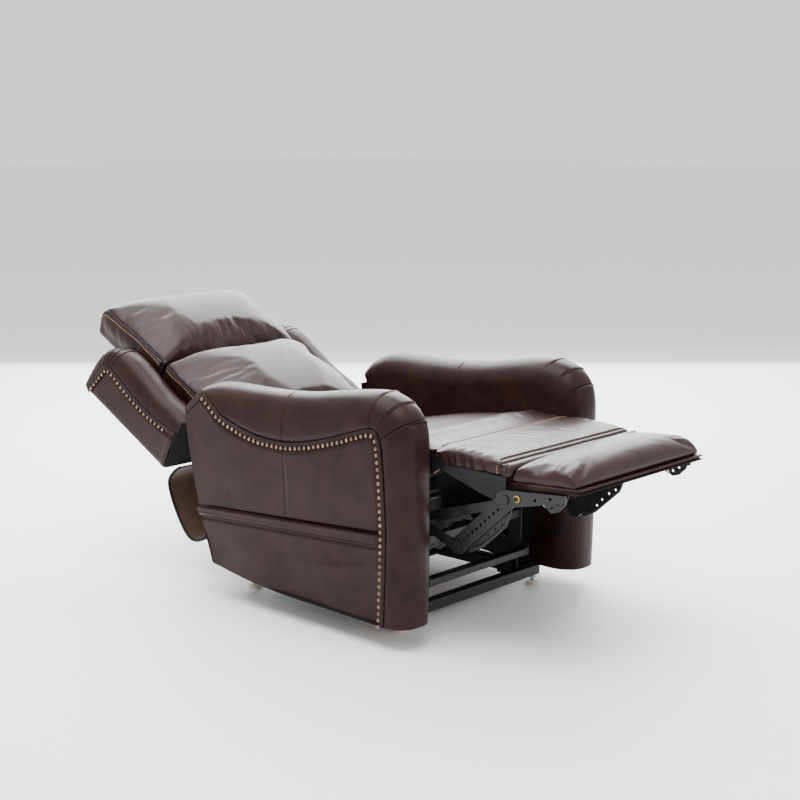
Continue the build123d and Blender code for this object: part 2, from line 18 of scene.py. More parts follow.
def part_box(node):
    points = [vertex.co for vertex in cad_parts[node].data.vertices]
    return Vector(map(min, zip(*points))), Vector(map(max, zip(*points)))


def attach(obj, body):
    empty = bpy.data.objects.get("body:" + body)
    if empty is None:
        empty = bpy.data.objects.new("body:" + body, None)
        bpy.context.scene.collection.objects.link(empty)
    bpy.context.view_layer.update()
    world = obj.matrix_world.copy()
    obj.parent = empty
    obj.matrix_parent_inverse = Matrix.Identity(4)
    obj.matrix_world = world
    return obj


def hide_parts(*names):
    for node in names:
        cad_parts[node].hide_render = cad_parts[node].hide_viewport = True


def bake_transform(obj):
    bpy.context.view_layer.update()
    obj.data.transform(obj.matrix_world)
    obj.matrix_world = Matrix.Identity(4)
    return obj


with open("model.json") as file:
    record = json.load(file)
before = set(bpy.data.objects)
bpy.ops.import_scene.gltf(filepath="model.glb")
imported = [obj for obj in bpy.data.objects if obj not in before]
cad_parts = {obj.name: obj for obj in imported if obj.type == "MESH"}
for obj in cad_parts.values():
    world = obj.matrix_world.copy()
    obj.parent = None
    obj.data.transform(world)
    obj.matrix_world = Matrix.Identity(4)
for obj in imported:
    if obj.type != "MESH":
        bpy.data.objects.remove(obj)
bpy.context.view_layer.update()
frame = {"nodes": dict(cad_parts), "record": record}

BODY_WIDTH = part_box("left_arm_outer_panel")[1].x
ARM_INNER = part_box("left_arm_inner_panel")[0].x
PAD_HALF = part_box("seat_cushion")[1].x
BACK_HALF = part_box("left_wing_panel")[1].x
BACK_CORNER = (0.473, 0.328)
BACK_ANGLE = math.radians(28.1)
SIDES = {"left": 1, "right": -1}


# ---------------------------------------------------------------- planes and curves
def side_point(x, p):
    """Point of a side outline, x metres off the middle."""
    return (x, p[0], p[1])


def back_point(x, p):
    """Point of the back's own outline, x metres off the middle."""
    c, s = math.cos(BACK_ANGLE), math.sin(BACK_ANGLE)
    return (x, BACK_CORNER[0] + p[0] * c - p[1] * s, BACK_CORNER[1] + p[0] * s + p[1] * c)


def to_back(co):
    """(x, along, out) of row-frame points."""
    c, s = math.cos(BACK_ANGLE), math.sin(BACK_ANGLE)
    y, z = co[:, 1] - BACK_CORNER[0], co[:, 2] - BACK_CORNER[1]
    return np.column_stack([co[:, 0], y * c + z * s, -y * s + z * c])


def from_back(co):
    """Row-frame points of (x, along, out)."""
    c, s = math.cos(BACK_ANGLE), math.sin(BACK_ANGLE)
    y = BACK_CORNER[0] + co[:, 1] * c - co[:, 2] * s
    z = BACK_CORNER[1] + co[:, 1] * s + co[:, 2] * c
    return np.column_stack([co[:, 0], y, z])


def spline(points, t):
    """Catmull-Rom curve through the points, at positions t counted in points."""
    p = np.array(points, float)
    p = np.vstack([2 * p[0] - p[1], p, 2 * p[-1] - p[-2]])
    t = np.asarray(t, float)
    i = np.clip(t.astype(int), 0, len(points) - 2)
    u = (t - i)[:, None]
    a, b, c, d = p[i], p[i + 1], p[i + 2], p[i + 3]
    return 0.5 * (2 * b + (c - a) * u + (2 * a - 5 * b + 4 * c - d) * u**2 + (3 * b - a - 3 * c + d) * u**3)


def even_steps(points, count):
    """Positions t that are evenly spaced along the curve's length."""
    t = np.linspace(0, len(points) - 1, 60 * len(points))
    walked = np.r_[0, np.cumsum(np.linalg.norm(np.diff(spline(points, t), axis=0), axis=1))]
    return np.interp(np.linspace(0, walked[-1], count), walked, t)


def even(points, count):
    """Evenly spaced points of the curve."""
    return spline(points, even_steps(points, count))


def along_curve(points, shares):
    """Points of the curve at shares, from 0 to 1, of its length."""
    fine = even(points, 400)
    return np.column_stack(
        [np.interp(shares, np.linspace(0, 1, 400), fine[:, k]) for k in range(fine.shape[1])]
    )


def soften(path, reach=4):
    """Moving average of a path that keeps its ends."""
    path = np.asarray(path, float)
    padded = np.vstack([np.repeat(path[:1], reach, 0), path, np.repeat(path[-1:], reach, 0)])
    window = 2 * reach + 1
    return np.array([padded[i:i + window].mean(0) for i in range(len(path))])


def bell(x, width):
    """1 at zero, fading over width."""
    return np.exp(-((x / width) ** 2))


def smoothstep(x, low, high):
    """0 below low, 1 above high."""
    t = np.clip((x - low) / (high - low), 0, 1)
    return t * t * (3 - 2 * t)


# ---------------------------------------------------------------- mesh helpers
def new_piece(name, verts, faces, material=None):
    """Smooth-shaded mesh object."""
    mesh = bpy.data.meshes.new(name)
    mesh.from_pydata([tuple(v) for v in verts], [], [tuple(f) for f in faces])
    mesh.polygons.foreach_set("use_smooth", [True] * len(mesh.polygons))
    obj = bpy.data.objects.new(name, mesh)
    bpy.context.scene.collection.objects.link(obj)
    if material:
        mesh.materials.append(material)
    return obj


def grid_faces(rows, columns, flip=False, wrap=False):
    """Quads of a grid of rows by columns."""
    faces = []
    for r in range(rows - 1):
        for c in range(columns if wrap else columns - 1):
            d = (c + 1) % columns
            quad = (r * columns + c, r * columns + d, (r + 1) * columns + d, (r + 1) * columns + c)
            faces.append(quad[::-1] if flip else quad)
    return faces


def grid_normals(grid):
    """Unit normals of a grid of points."""
    n = np.cross(np.gradient(grid, axis=0), np.gradient(grid, axis=1))
    return n / np.maximum(np.linalg.norm(n, axis=2, keepdims=True), 1e-9)


def outward(grid, side):
    """Grid normals that point away from the chair's middle plane at the middle of the grid."""
    n = grid_normals(grid)
    middle = n[n.shape[0] // 2, n.shape[1] // 3]
    return n if middle[0] * side > 0 else -n


def coordinates(mesh):
    """Vertex coordinates of a mesh."""
    co = np.empty(len(mesh.vertices) * 3)
    mesh.vertices.foreach_get("co", co)
    return co.reshape(-1, 3)


def set_coordinates(mesh, co):
    mesh.vertices.foreach_set("co", np.asarray(co, float).ravel())
    mesh.update()


def normals(mesh):
    n = np.empty(len(mesh.vertices) * 3)
    mesh.vertices.foreach_get("normal", n)
    return n.reshape(-1, 3)


def bake(obj):
    """Apply every modifier."""
    depsgraph = bpy.context.evaluated_depsgraph_get()
    mesh = bpy.data.meshes.new_from_object(obj.evaluated_get(depsgraph))
    obj.modifiers.clear()
    old, obj.data = obj.data, mesh
    mesh.name = obj.name
    bpy.data.meshes.remove(old)
    mesh.polygons.foreach_set("use_smooth", [True] * len(mesh.polygons))


def distance_to_path(co, path):
    """Distance of each point to the nearest of a path's points."""
    tree = KDTree(len(path))
    for i, p in enumerate(path):
        tree.insert(p, i)
    tree.balance()
    return np.array([tree.find(p)[2] for p in co])


def dense(path, step=0.003):
    """The path with points no further apart than step."""
    path = np.asarray(path, float)
    length = np.linalg.norm(np.diff(path, axis=0), axis=1).sum()
    return even(path, max(int(length / step), 8))


def press(obj, path, width, depth):
    """Press a groove into a mesh along a path on its surface."""
    co, n = coordinates(obj.data), normals(obj.data)
    path = dense(path)
    low, high = path.min(0) - 3 * width, path.max(0) + 3 * width
    near = np.all((co > low) & (co < high), axis=1)
    d = distance_to_path(co[near], path)
    co[near] -= n[near] * (depth * bell(d, width))[:, None]
    set_coordinates(obj.data, co)


def fold(obj, start, end, width, height, facing=(0, 0, 1)):
    """Raise a soft fold on the side of a mesh that faces the given way, from start to end."""
    co, n = coordinates(obj.data), normals(obj.data)
    a, b = np.array(start), np.array(end)
    along = b - a
    t = ((co - a) @ along) / (along @ along)
    off = co - a - np.clip(t, 0, 1)[:, None] * along
    off -= np.outer(off @ np.array(facing), facing)
    d = np.linalg.norm(off, axis=1)
    taper = smoothstep(t, -0.15, 0.2) * (1 - smoothstep(t, 0.6, 1.15))
    faces_it = np.clip(n @ np.array(facing), 0, 1)
    co += np.outer(height * bell(d, width) * taper * faces_it, facing)
    set_coordinates(obj.data, co)


def snap(obj, points, lift=0.0):
    """Nearest surface points of a mesh, lifted off it."""
    mesh = obj.data
    tree = BVHTree.FromPolygons([v.co for v in mesh.vertices], [p.vertices for p in mesh.polygons])
    found = []
    for p in points:
        where, normal, _, _ = tree.find_nearest(Vector(p))
        found.append(np.array(where) + lift * np.array(normal))
    return np.array(found)


def tube(name, path, radius, material, sides=10):
    """Round tube along a path of points."""
    path = np.asarray(path, float)
    tangent = np.gradient(path, axis=0)
    tangent /= np.linalg.norm(tangent, axis=1, keepdims=True)
    up = np.array([1.0, 0, 0]) if abs(tangent[0][0]) < 0.8 else np.array([0, 0, 1.0])
    verts = []
    for p, t in zip(path, tangent):
        side = np.cross(t, up)
        side /= np.linalg.norm(side)
        up = np.cross(side, t)
        for k in range(sides):
            a = 2 * math.pi * k / sides
            verts.append(p + radius * (math.cos(a) * side + math.sin(a) * up))
    faces = grid_faces(len(path), sides, wrap=True)
    faces.append(tuple(range(sides))[::-1])
    faces.append(tuple(range(len(verts) - sides, len(verts))))
    return new_piece(name, verts, faces, material)


def stitches(name, path, material, stitch=0.006, gap=0.0028, radius=0.0007):
    """A row of thread stitches along a path: short capsules that dip at both ends."""
    path = np.asarray(path, float)
    steps = np.r_[0, np.cumsum(np.linalg.norm(np.diff(path, axis=0), axis=1))]
    verts, faces = [], []
    rings, sides = (0.0, 0.12, 0.5, 0.88, 1.0), 6
    sizes = (0.35, 1.0, 1.25, 1.0, 0.35)
    for start in np.arange(0, steps[-1] - stitch, stitch + gap):
        ends = [np.array([np.interp(start + s * stitch, steps, path[:, k]) for k in range(3)]) for s in rings]
        t = ends[-1] - ends[0]
        t /= max(np.linalg.norm(t), 1e-9)
        side = np.cross(t, (0.3, 0.2, 0.93))
        side /= max(np.linalg.norm(side), 1e-9)
        up = np.cross(side, t)
        first = len(verts)
        for centre, size in zip(ends, sizes):
            for k in range(sides):
                a = 2 * math.pi * k / sides
                verts.append(centre + radius * size * (math.cos(a) * side + math.sin(a) * up))
        faces += [tuple(first + i for i in f) for f in grid_faces(len(rings), sides, wrap=True)]
        faces.append(tuple(range(first, first + sides))[::-1])
        faces.append(tuple(range(len(verts) - sides, len(verts))))
    return new_piece(name, verts, faces, material)


def nail_heads(name, path, axis, spacing, radius, material):
    """A row of domed nail heads whose tops face along axis."""
    count = int(np.linalg.norm(np.diff(path, axis=0), axis=1).sum() / spacing)
    centres = even(path, count)
    axis = np.array(axis, float)
    a = np.cross(axis, (0, 0.6, 0.8))
    a /= np.linalg.norm(a)
    b = np.cross(axis, a)
    rings = [(1.0, -0.12), (1.0, 0.06), (0.9, 0.26), (0.68, 0.44), (0.36, 0.56)]
    sides = 14
    verts, faces = [], []
    for centre in centres:
        first = len(verts)
        for size, height in rings:
            for k in range(sides):
                q = 2 * math.pi * k / sides
                out = size * radius * (math.cos(q) * a + math.sin(q) * b)
                verts.append(centre + out + height * radius * axis)
        verts.append(centre + 0.6 * radius * axis)
        faces += [tuple(first + i for i in f) for f in grid_faces(len(rings), sides, wrap=True)]
        last = len(verts) - 1
        ring = last - sides
        faces += [(ring + k, ring + (k + 1) % sides, last) for k in range(sides)]
    return new_piece(name, verts, faces, material)


# ---------------------------------------------------------------- materials
def shader(name, **sockets):
    """Material with its surface sockets set, and its node tree's parts."""
    material = bpy.data.materials.new(name)
    material.use_nodes = True
    nodes, links = material.node_tree.nodes, material.node_tree.links
    surface = nodes["Principled BSDF"]
    for socket, value in sockets.items():
        surface.inputs[socket.replace("_", " ")].default_value = value
    return material, nodes, links, surface


def noise_node(nodes, links, scale, detail=3.0, roughness=0.55, stretch=(1, 1, 1)):
    """Noise in the row frame."""
    where = nodes.new("ShaderNodeTexCoord")
    mapping = nodes.new("ShaderNodeMapping")
    mapping.inputs["Scale"].default_value = stretch
    links.new(where.outputs["Object"], mapping.inputs["Vector"])
    noise = nodes.new("ShaderNodeTexNoise")
    noise.inputs["Scale"].default_value = scale
    noise.inputs["Detail"].default_value = detail
    noise.inputs["Roughness"].default_value = roughness
    links.new(mapping.outputs["Vector"], noise.inputs["Vector"])
    return noise


def cells_node(nodes, links, scale, feature="DISTANCE_TO_EDGE"):
    """Voronoi cells in the row frame, bent a little by noise."""
    where = nodes.new("ShaderNodeTexCoord")
    bend = noise_node(nodes, links, scale * 0.4, 2.0)
    mix = nodes.new("ShaderNodeVectorMath")
    mix.operation = "MULTIPLY_ADD"
    mix.inputs[1].default_value = (0.6 / scale, 0.6 / scale, 0.6 / scale)
    links.new(bend.outputs["Color"], mix.inputs[0])
    links.new(where.outputs["Object"], mix.inputs[2])
    cells = nodes.new("ShaderNodeTexVoronoi")
    cells.feature = feature
    cells.inputs["Scale"].default_value = scale
    links.new(mix.outputs["Vector"], cells.inputs["Vector"])
    return cells


def ramp_node(nodes, links, source, stops):
    """Colour ramp over a value; stops are (position, colour)."""
    ramp = nodes.new("ShaderNodeValToRGB")
    elements = ramp.color_ramp.elements
    while len(elements) < len(stops):
        elements.new(0.5)
    for element, (position, colour) in zip(elements, stops):
        element.position = position
        element.color = (*colour, 1)
    links.new(source, ramp.inputs["Fac"])
    return ramp


def range_node(nodes, links, source, low, high, from_low=0.3, from_high=0.7):
    """Map a value onto a range."""
    node = nodes.new("ShaderNodeMapRange")
    node.inputs["From Min"].default_value = from_low
    node.inputs["From Max"].default_value = from_high
    node.inputs["To Min"].default_value = low
    node.inputs["To Max"].default_value = high
    links.new(source, node.inputs["Value"])
    return node


def bump_chain(nodes, links, surface, layers):
    """Stack bumps: each layer is (height output, distance in metres, strength)."""
    normal = None
    for height, distance, strength in layers:
        bump = nodes.new("ShaderNodeBump")
        bump.inputs["Distance"].default_value = distance
        bump.inputs["Strength"].default_value = strength
        links.new(height, bump.inputs["Height"])
        if normal:
            links.new(normal, bump.inputs["Normal"])
        normal = bump.outputs["Normal"]
    links.new(normal, surface.inputs["Normal"])


def leather(name, dark, light, patch_scale, rough=(0.3, 0.44), shine=0.25):
    """Finished leather: mottled dye, pebble grain, fine creases, and an uneven topcoat."""
    material, nodes, links, surface = shader(
        name, Coat_Weight=0.03, Coat_Roughness=0.24, Specular_IOR_Level=shine
    )
    patches = noise_node(nodes, links, patch_scale, 5.0, 0.62)
    middle = tuple((a + b) / 2 for a, b in zip(dark, light))
    dye = ramp_node(nodes, links, patches.outputs["Fac"], [(0.32, dark), (0.5, middle), (0.7, light)])
    pores = noise_node(nodes, links, 900, 2.0)
    tint = nodes.new("ShaderNodeMix")
    tint.data_type = "RGBA"
    tint.blend_type = "MULTIPLY"
    tint.inputs["Factor"].default_value = 0.35
    links.new(dye.outputs["Color"], tint.inputs["A"])
    links.new(pores.outputs["Color"], tint.inputs["B"])
    links.new(tint.outputs["Result"], surface.inputs["Base Color"])
    worn = noise_node(nodes, links, 14, 4.0)
    links.new(
        range_node(nodes, links, worn.outputs["Fac"], *rough).outputs["Result"], surface.inputs["Roughness"]
    )
    grain = cells_node(nodes, links, 520)
    creases = noise_node(nodes, links, 55, 6.0, 0.7)
    bump_chain(nodes, links, surface, [
        (creases.outputs["Fac"], 0.0012, 0.22),
        (grain.outputs["Distance"], 0.0006, 0.28),
    ])
    return material


def suede(name, colour):
    """Brushed flesh side of the leather."""
    material, nodes, links, surface = shader(name, Sheen_Weight=0.35, Roughness=0.92)
    nap = noise_node(nodes, links, 60, 6.0, 0.7)
    dark = tuple(c * 0.55 for c in colour)
    links.new(
        ramp_node(nodes, links, nap.outputs["Fac"], [(0.3, dark), (0.7, colour)]).outputs["Color"],
        surface.inputs["Base Color"],
    )
    fibre = noise_node(nodes, links, 1500, 3.0)
    bump_chain(nodes, links, surface, [(nap.outputs["Fac"], 0.002, 0.3), (fibre.outputs["Fac"], 0.0005, 0.5)])
    return material


def woven(name, colour, threads=900):
    """Thin woven dust cloth: two crossed sets of threads."""
    material, nodes, links, surface = shader(name, Roughness=0.85, Specular_IOR_Level=0.2)
    fade = noise_node(nodes, links, 9, 3.0)
    light = tuple(c * 1.6 + 0.004 for c in colour)
    links.new(
        ramp_node(nodes, links, fade.outputs["Fac"], [(0.35, colour), (0.68, light)]).outputs["Color"],
        surface.inputs["Base Color"],
    )
    where = nodes.new("ShaderNodeTexCoord")
    heights = []
    for direction in ("X", "Z"):
        wave = nodes.new("ShaderNodeTexWave")
        wave.bands_direction = direction
        wave.inputs["Scale"].default_value = threads / 6.28
        wave.inputs["Distortion"].default_value = 0.6
        links.new(where.outputs["Object"], wave.inputs["Vector"])
        heights.append(wave.outputs["Fac"])
    weave = nodes.new("ShaderNodeMath")
    weave.operation = "MAXIMUM"
    links.new(heights[0], weave.inputs[0])
    links.new(heights[1], weave.inputs[1])
    bump_chain(nodes, links, surface, [(weave.outputs["Value"], 0.0004, 0.5)])
    return material


def coated_metal(name, colour, rough=(0.36, 0.52), metallic=0.0, grain=420, depth=0.0003):
    """Powder-coated or plated metal with orange peel, dust and rubbed patches."""
    material, nodes, links, surface = shader(name, Metallic=metallic, Specular_IOR_Level=0.32)
    rub = noise_node(nodes, links, 30, 5.0, 0.65)
    dusty = tuple(min(1, c * 1.5 + 0.006) for c in colour)
    links.new(
        ramp_node(nodes, links, rub.outputs["Fac"], [(0.4, colour), (0.75, dusty)]).outputs["Color"],
        surface.inputs["Base Color"],
    )
    links.new(
        range_node(nodes, links, rub.outputs["Fac"], *rough).outputs["Result"], surface.inputs["Roughness"]
    )
    peel = noise_node(nodes, links, grain, 2.0)
    bump_chain(nodes, links, surface, [(peel.outputs["Fac"], depth, 0.35)])
    return material


def moulded(name, colour, rough=(0.4, 0.55)):
    """Moulded plastic with a spark-eroded texture."""
    material, nodes, links, surface = shader(name, Specular_IOR_Level=0.45)
    tone = noise_node(nodes, links, 12, 3.0)
    light = tuple(min(1, c * 1.15) for c in colour)
    links.new(
        ramp_node(nodes, links, tone.outputs["Fac"], [(0.3, colour), (0.75, light)]).outputs["Color"],
        surface.inputs["Base Color"],
    )
    links.new(
        range_node(nodes, links, tone.outputs["Fac"], *rough).outputs["Result"], surface.inputs["Roughness"]
    )
    spark = noise_node(nodes, links, 2200, 1.0)
    bump_chain(nodes, links, surface, [(spark.outputs["Fac"], 0.0002, 0.3)])
    return material


def plywood(name):
    """Rotary-cut plywood with long grain."""
    material, nodes, links, surface = shader(name, Roughness=0.7)
    grain = noise_node(nodes, links, 22, 6.0, 0.65, stretch=(1, 9, 9))
    links.new(
        ramp_node(nodes, links, grain.outputs["Fac"], [
            (0.3, (0.28, 0.17, 0.09)), (0.5, (0.48, 0.33, 0.19)), (0.75, (0.6, 0.45, 0.28)),
        ]).outputs["Color"],
        surface.inputs["Base Color"],
    )
    bump_chain(nodes, links, surface, [(grain.outputs["Fac"], 0.0008, 0.3)])
    return material


def aged_brass(name):
    """Antique brass, darker and lighter in uneven patches."""
    material, nodes, links, surface = shader(name, Metallic=1.0)
    age = noise_node(nodes, links, 130, 4.0)
    links.new(
        ramp_node(nodes, links, age.outputs["Fac"], [
            (0.3, (0.09, 0.058, 0.04)), (0.52, (0.22, 0.152, 0.105)), (0.75, (0.38, 0.285, 0.205)),
        ]).outputs["Color"],
        surface.inputs["Base Color"],
    )
    links.new(
        range_node(nodes, links, age.outputs["Fac"], 0.28, 0.5).outputs["Result"], surface.inputs["Roughness"]
    )
    bump_chain(nodes, links, surface, [(age.outputs["Fac"], 0.0004, 0.3)])
    return material


def thread(name, colour):
    """Twisted thread."""
    material, nodes, links, surface = shader(name, Roughness=0.65, Sheen_Weight=0.2)
    twist = noise_node(nodes, links, 700, 2.0)
    dark = tuple(c * 0.6 for c in colour)
    links.new(
        ramp_node(nodes, links, twist.outputs["Fac"], [(0.35, dark), (0.65, colour)]).outputs["Color"],
        surface.inputs["Base Color"],
    )
    bump_chain(nodes, links, surface, [(twist.outputs["Fac"], 0.0004, 0.4)])
    return material


SEAT_LEATHER = leather("seat leather", (0.016, 0.0058, 0.0062), (0.028, 0.0095, 0.0090), 7, (0.33, 0.42))
SIDE_LEATHER = leather(
    "side leather", (0.014, 0.0055, 0.0058), (0.028, 0.0110, 0.0098), 16, (0.33, 0.44), 0.12
)
# Darker copy of the side leather. Its dark colour is painted shade. It lines the seams, the cushion piping
# and the grooves beside the arm and wing piping.
SEAM_SHADE_LEATHER = leather("seam leather with painted shade", (0.008, 0.004, 0.0035), (0.016, 0.007, 0.006), 20, (0.3, 0.42))
SUEDE = suede("suede", (0.085, 0.036, 0.019))
DUST_CLOTH = woven("dust cloth", (0.0105, 0.0105, 0.012))
BLACK_STEEL = coated_metal("black steel", (0.006, 0.006, 0.007))
LINK_STEEL = coated_metal("link steel", (0.010, 0.010, 0.0115), (0.32, 0.46))
ZINC = coated_metal("zinc", (0.32, 0.32, 0.33), (0.26, 0.42), 1.0, 700, 0.0001)
ROD_STEEL = coated_metal("rod steel", (0.4, 0.4, 0.41), (0.18, 0.3), 1.0, 900, 0.0001)
GREY_PLASTIC = moulded("grey plastic", (0.13, 0.135, 0.14))
BLACK_PLASTIC = moulded("black plastic", (0.014, 0.014, 0.015))
RED_PLASTIC = moulded("red plastic", (0.35, 0.02, 0.02))
YELLOW_PLASTIC = moulded("yellow plastic", (0.40, 0.27, 0.02))
WHITE_PLASTIC = moulded("white plastic", (0.6, 0.6, 0.57))
GLIDE_PLASTIC = moulded("glide plastic", (0.5, 0.45, 0.38))
PLYWOOD = plywood("plywood")
BRASS = aged_brass("aged brass")
TAN_THREAD = thread("tan thread", (0.42, 0.24, 0.12))
SLOT_MATERIAL = {
    "leather": SIDE_LEATHER, "flap_leather": SUEDE, "dust_cloth": DUST_CLOTH, "plywood": PLYWOOD,
    "black_steel": BLACK_STEEL, "zinc": ZINC, "motor_plastic": GREY_PLASTIC, "rod_steel": ROD_STEEL,
    "black_plastic": BLACK_PLASTIC, "glide_plastic": GLIDE_PLASTIC,
}


def dress_frame():
    """Give every carried-over CAD node its material."""
    for entry in frame["record"]["subparts"]:
        obj = frame["nodes"][entry["node"]]
        obj.data.materials.clear()
        obj.data.materials.append(SLOT_MATERIAL[entry["material_slot"]])
    for node in ("leg_upper_links", "leg_lower_links", "footrest_arms"):
        frame["nodes"][node].data.materials[0] = LINK_STEEL
    for node in ("leg_link_pins", "riser_pins"):
        frame["nodes"][node].data.materials[0] = BLACK_STEEL


def done(obj, body, slot_name, *nodes):
    """Parent a piece to the empty of the body it rides on, and hide the CAD nodes it stands for. slot_name is
    not used.
    """
    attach(obj, body)
    if nodes:
        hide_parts(*nodes)
    return obj


# ---------------------------------------------------------------- camera, floor and light
CAMERA_PLACE = (-3.1707, -3.0045, 1.3467)
CAMERA_DIP = math.radians(10.56)
CAMERA_TURN = math.radians(-47.535)
CAMERA_LENS = 70.3
CAMERA_SENSOR = 36
FLOOR_HALF = 30
FLOOR_COLOUR = (0.93, 0.93, 0.935, 1)
WORLD_STRENGTH = 1.2
# Name, place, target, size and power
SOFTBOXES = [
    ("back softbox", (1.9, 1.8, 2.5), (0, -0.1, 0.4), (4.4, 2.2), 330),
    ("low back softbox", (2.9, 2.6, 0.9), (0, -0.1, 0.5), (5.0, 1.6), 130),
    ("top softbox", (-0.9, 0.0, 3.2), (0, 0, 0.4), (3.4, 2.6), 190),
    ("front softbox", (0.8, -3.8, 2.2), (0, -0.3, 0.3), (2.4, 1.6), 40),
]


def make_camera():
    data = bpy.data.cameras.new("camera")
    camera = bpy.data.objects.new("camera", data)
    bpy.context.scene.collection.objects.link(camera)
    camera.location = CAMERA_PLACE
    camera.rotation_euler = (math.radians(90) - CAMERA_DIP, 0, CAMERA_TURN)
    data.sensor_width = CAMERA_SENSOR
    data.lens = CAMERA_LENS
    bpy.context.scene.camera = camera


def make_stage():
    half = FLOOR_HALF
    corners = [(-half, -half, 0), (half, -half, 0), (half, half, 0), (-half, half, 0)]
    floor = new_piece("floor", corners, [(0, 1, 2, 3)])
    material, _, _, surface = shader("floor white", Roughness=0.6)
    surface.inputs["Base Color"].default_value = FLOOR_COLOUR
    floor.data.materials.append(material)
    world = bpy.data.worlds.new("studio")
    bpy.context.scene.world = world
    world.use_nodes = True
    background = world.node_tree.nodes["Background"]
    background.inputs["Color"].default_value = (1, 1, 1, 1)
    background.inputs["Strength"].default_value = WORLD_STRENGTH


def area_light(name, location, target, size, power):
    data = bpy.data.lights.new(name, "AREA")
    data.shape = "RECTANGLE"
    data.size, data.size_y = size
    data.energy = power
    light = bpy.data.objects.new(name, data)
    bpy.context.scene.collection.objects.link(light)
    light.location = location
    light.visible_camera = False
    aim = Vector(target) - Vector(location)
    light.rotation_euler = aim.to_track_quat("-Z", "Y").to_euler()


def make_lights():
    for softbox in SOFTBOXES:
        area_light(*softbox)


# ---------------------------------------------------------------- arms
# Matching stations along an arm's roll, rear to front and down: outer edge, ridge and inner edge
ARM_OUTER = [
    (0.323, 0.507), (0.270, 0.546), (0.240, 0.572), (0.212, 0.553), (0.165, 0.520), (0.056, 0.489),
    (-0.037, 0.482), (-0.127, 0.489), (-0.237, 0.515), (-0.321, 0.542), (-0.378, 0.560),
    (-0.404, 0.557), (-0.416, 0.541), (-0.421, 0.520), (-0.428, 0.458), (-0.433, 0.383),
    (-0.436, 0.307), (-0.434, 0.205), (-0.428, 0.060),
]
ARM_RIDGE = [
    (0.325, 0.552), (0.296, 0.580), (0.262, 0.595), (0.228, 0.604), (0.170, 0.607), (0.075, 0.607),
    (-0.025, 0.610), (-0.128, 0.619), (-0.222, 0.634), (-0.310, 0.647), (-0.385, 0.652),
    (-0.445, 0.634), (-0.484, 0.596), (-0.499, 0.545), (-0.501, 0.470), (-0.501, 0.390),
    (-0.501, 0.310), (-0.500, 0.205), (-0.496, 0.060),
]
ARM_INSIDE = [
    (0.300, 0.520), (0.280, 0.530), (0.255, 0.537), (0.225, 0.541), (0.170, 0.542), (0.075, 0.541),
    (-0.025, 0.544), (-0.128, 0.552), (-0.215, 0.566), (-0.292, 0.577), (-0.352, 0.578),
    (-0.392, 0.562), (-0.412, 0.536), (-0.420, 0.505), (-0.422, 0.458), (-0.422, 0.383),
    (-0.422, 0.307), (-0.420, 0.205), (-0.414, 0.060),
]
ARM_REAR = [(0.323, 0.507), (0.300, 0.390), (0.276, 0.262), (0.267, 0.233), (0.222, 0.101)]
ARM_HEM = [(0.222, 0.101), (0.060, 0.078), (-0.089, 0.068), (-0.260, 0.064), (-0.428, 0.060)]
CORNER = 12
BAND_STATION = 16
RIDGE_X = 0.355
PLEATS = (10.05, 11.05, 12.15)
ROLL_SEAM = 6.35
PANEL_SEAM = ((0.281, 0.520), (-0.084, -0.071))
BAND_TOP = ((0.273, 0.258), (-0.429, 0.303))
BAND_LOW = ((0.266, 0.236), (-0.429, 0.277))
# Tubes along a nailed edge, each (inset, radius, finish): the leather piping, then two thin dark tubes beside
# it that are painted shade of its grooves.
PIPING_AND_SHADE_TUBES = ((0.0012, 0.0031, SIDE_LEATHER), (0.0052, 0.0012, SEAM_SHADE_LEATHER), (-0.0030, 0.0014, SEAM_SHADE_LEATHER))


def padded_band(outer, ridge, inner, xs, place, marks, counts=(260, 34, 30)):
    """Grid of a padded roll: rows run along the stations, columns from the outer edge over the ridge.

    marks are (station, width, depth, step, inner): creases across the roll, each with a step on its
    far side, and how much of it is left on the inner face.
    """
    along, out_count, in_count = counts
    t = even_steps(ridge, along)
    near = [station + width * np.linspace(-4, 7, 23) for station, width, *_ in marks]
    t = np.unique(np.round(np.concatenate([t, *near]), 4))
    o, r, i = spline(outer, t), spline(ridge, t), spline(inner, t)
    x_out, x_ridge, x_in = xs
    grid = []
    across = []
    for a in np.linspace(0, 1, out_count, endpoint=False) * math.pi / 2:
        share = 1 - math.sin(a) ** 0.92
        x = x_ridge + (x_out - x_ridge) * math.cos(a) ** 0.8
        tuck = math.copysign(0.006 * bell(1 - share, 0.07), x_out)
        grid.append([place(x - tuck, p) for p in r + (o - r) * share])
        across.append(share)
    for b in np.linspace(0, 1, in_count) * math.pi / 2:
        share = 1 - math.cos(b) ** 0.92
        x = x_ridge + (x_in - x_ridge) * math.sin(b) ** 0.8
        grid.append([place(x, p) for p in r + (i - r) * share])
        across.append(-share)
    grid = np.array(grid).transpose(1, 0, 2)
    n = outward(grid, math.copysign(1, x_out))
    across = np.array(across)[None, :]
    offset = np.zeros(grid.shape[:2])
    for station, width, depth, step, inner in marks:
        d = np.repeat(t[:, None] - station, across.shape[1], axis=1)
        fade = 1 - (1 - inner) * smoothstep(-across, 0.02, 0.4)
        offset -= depth * bell(d, width) * fade
        offset += step * smoothstep(d, 0, width) * (1 - smoothstep(d, width, 7 * width)) * fade
    return grid + n * offset[:, :, None], t


def band_mesh(name, grid, material):
    """Mesh of a band, with both ends closed."""
    rows, columns = grid.shape[:2]
    faces = grid_faces(rows, columns)
    faces.append(tuple(range(columns)))
    faces.append(tuple(range((rows - 1) * columns, rows * columns))[::-1])
    obj = new_piece(name, grid.reshape(-1, 3), faces, material)
    tidy_normals(obj)
    return obj


def tidy_normals(obj):
    """Make a mesh's faces all turn outward."""
    mesh = bmesh.new()
    mesh.from_mesh(obj.data)
    bmesh.ops.recalc_face_normals(mesh, faces=mesh.faces)
    mesh.to_mesh(obj.data)
    mesh.free()


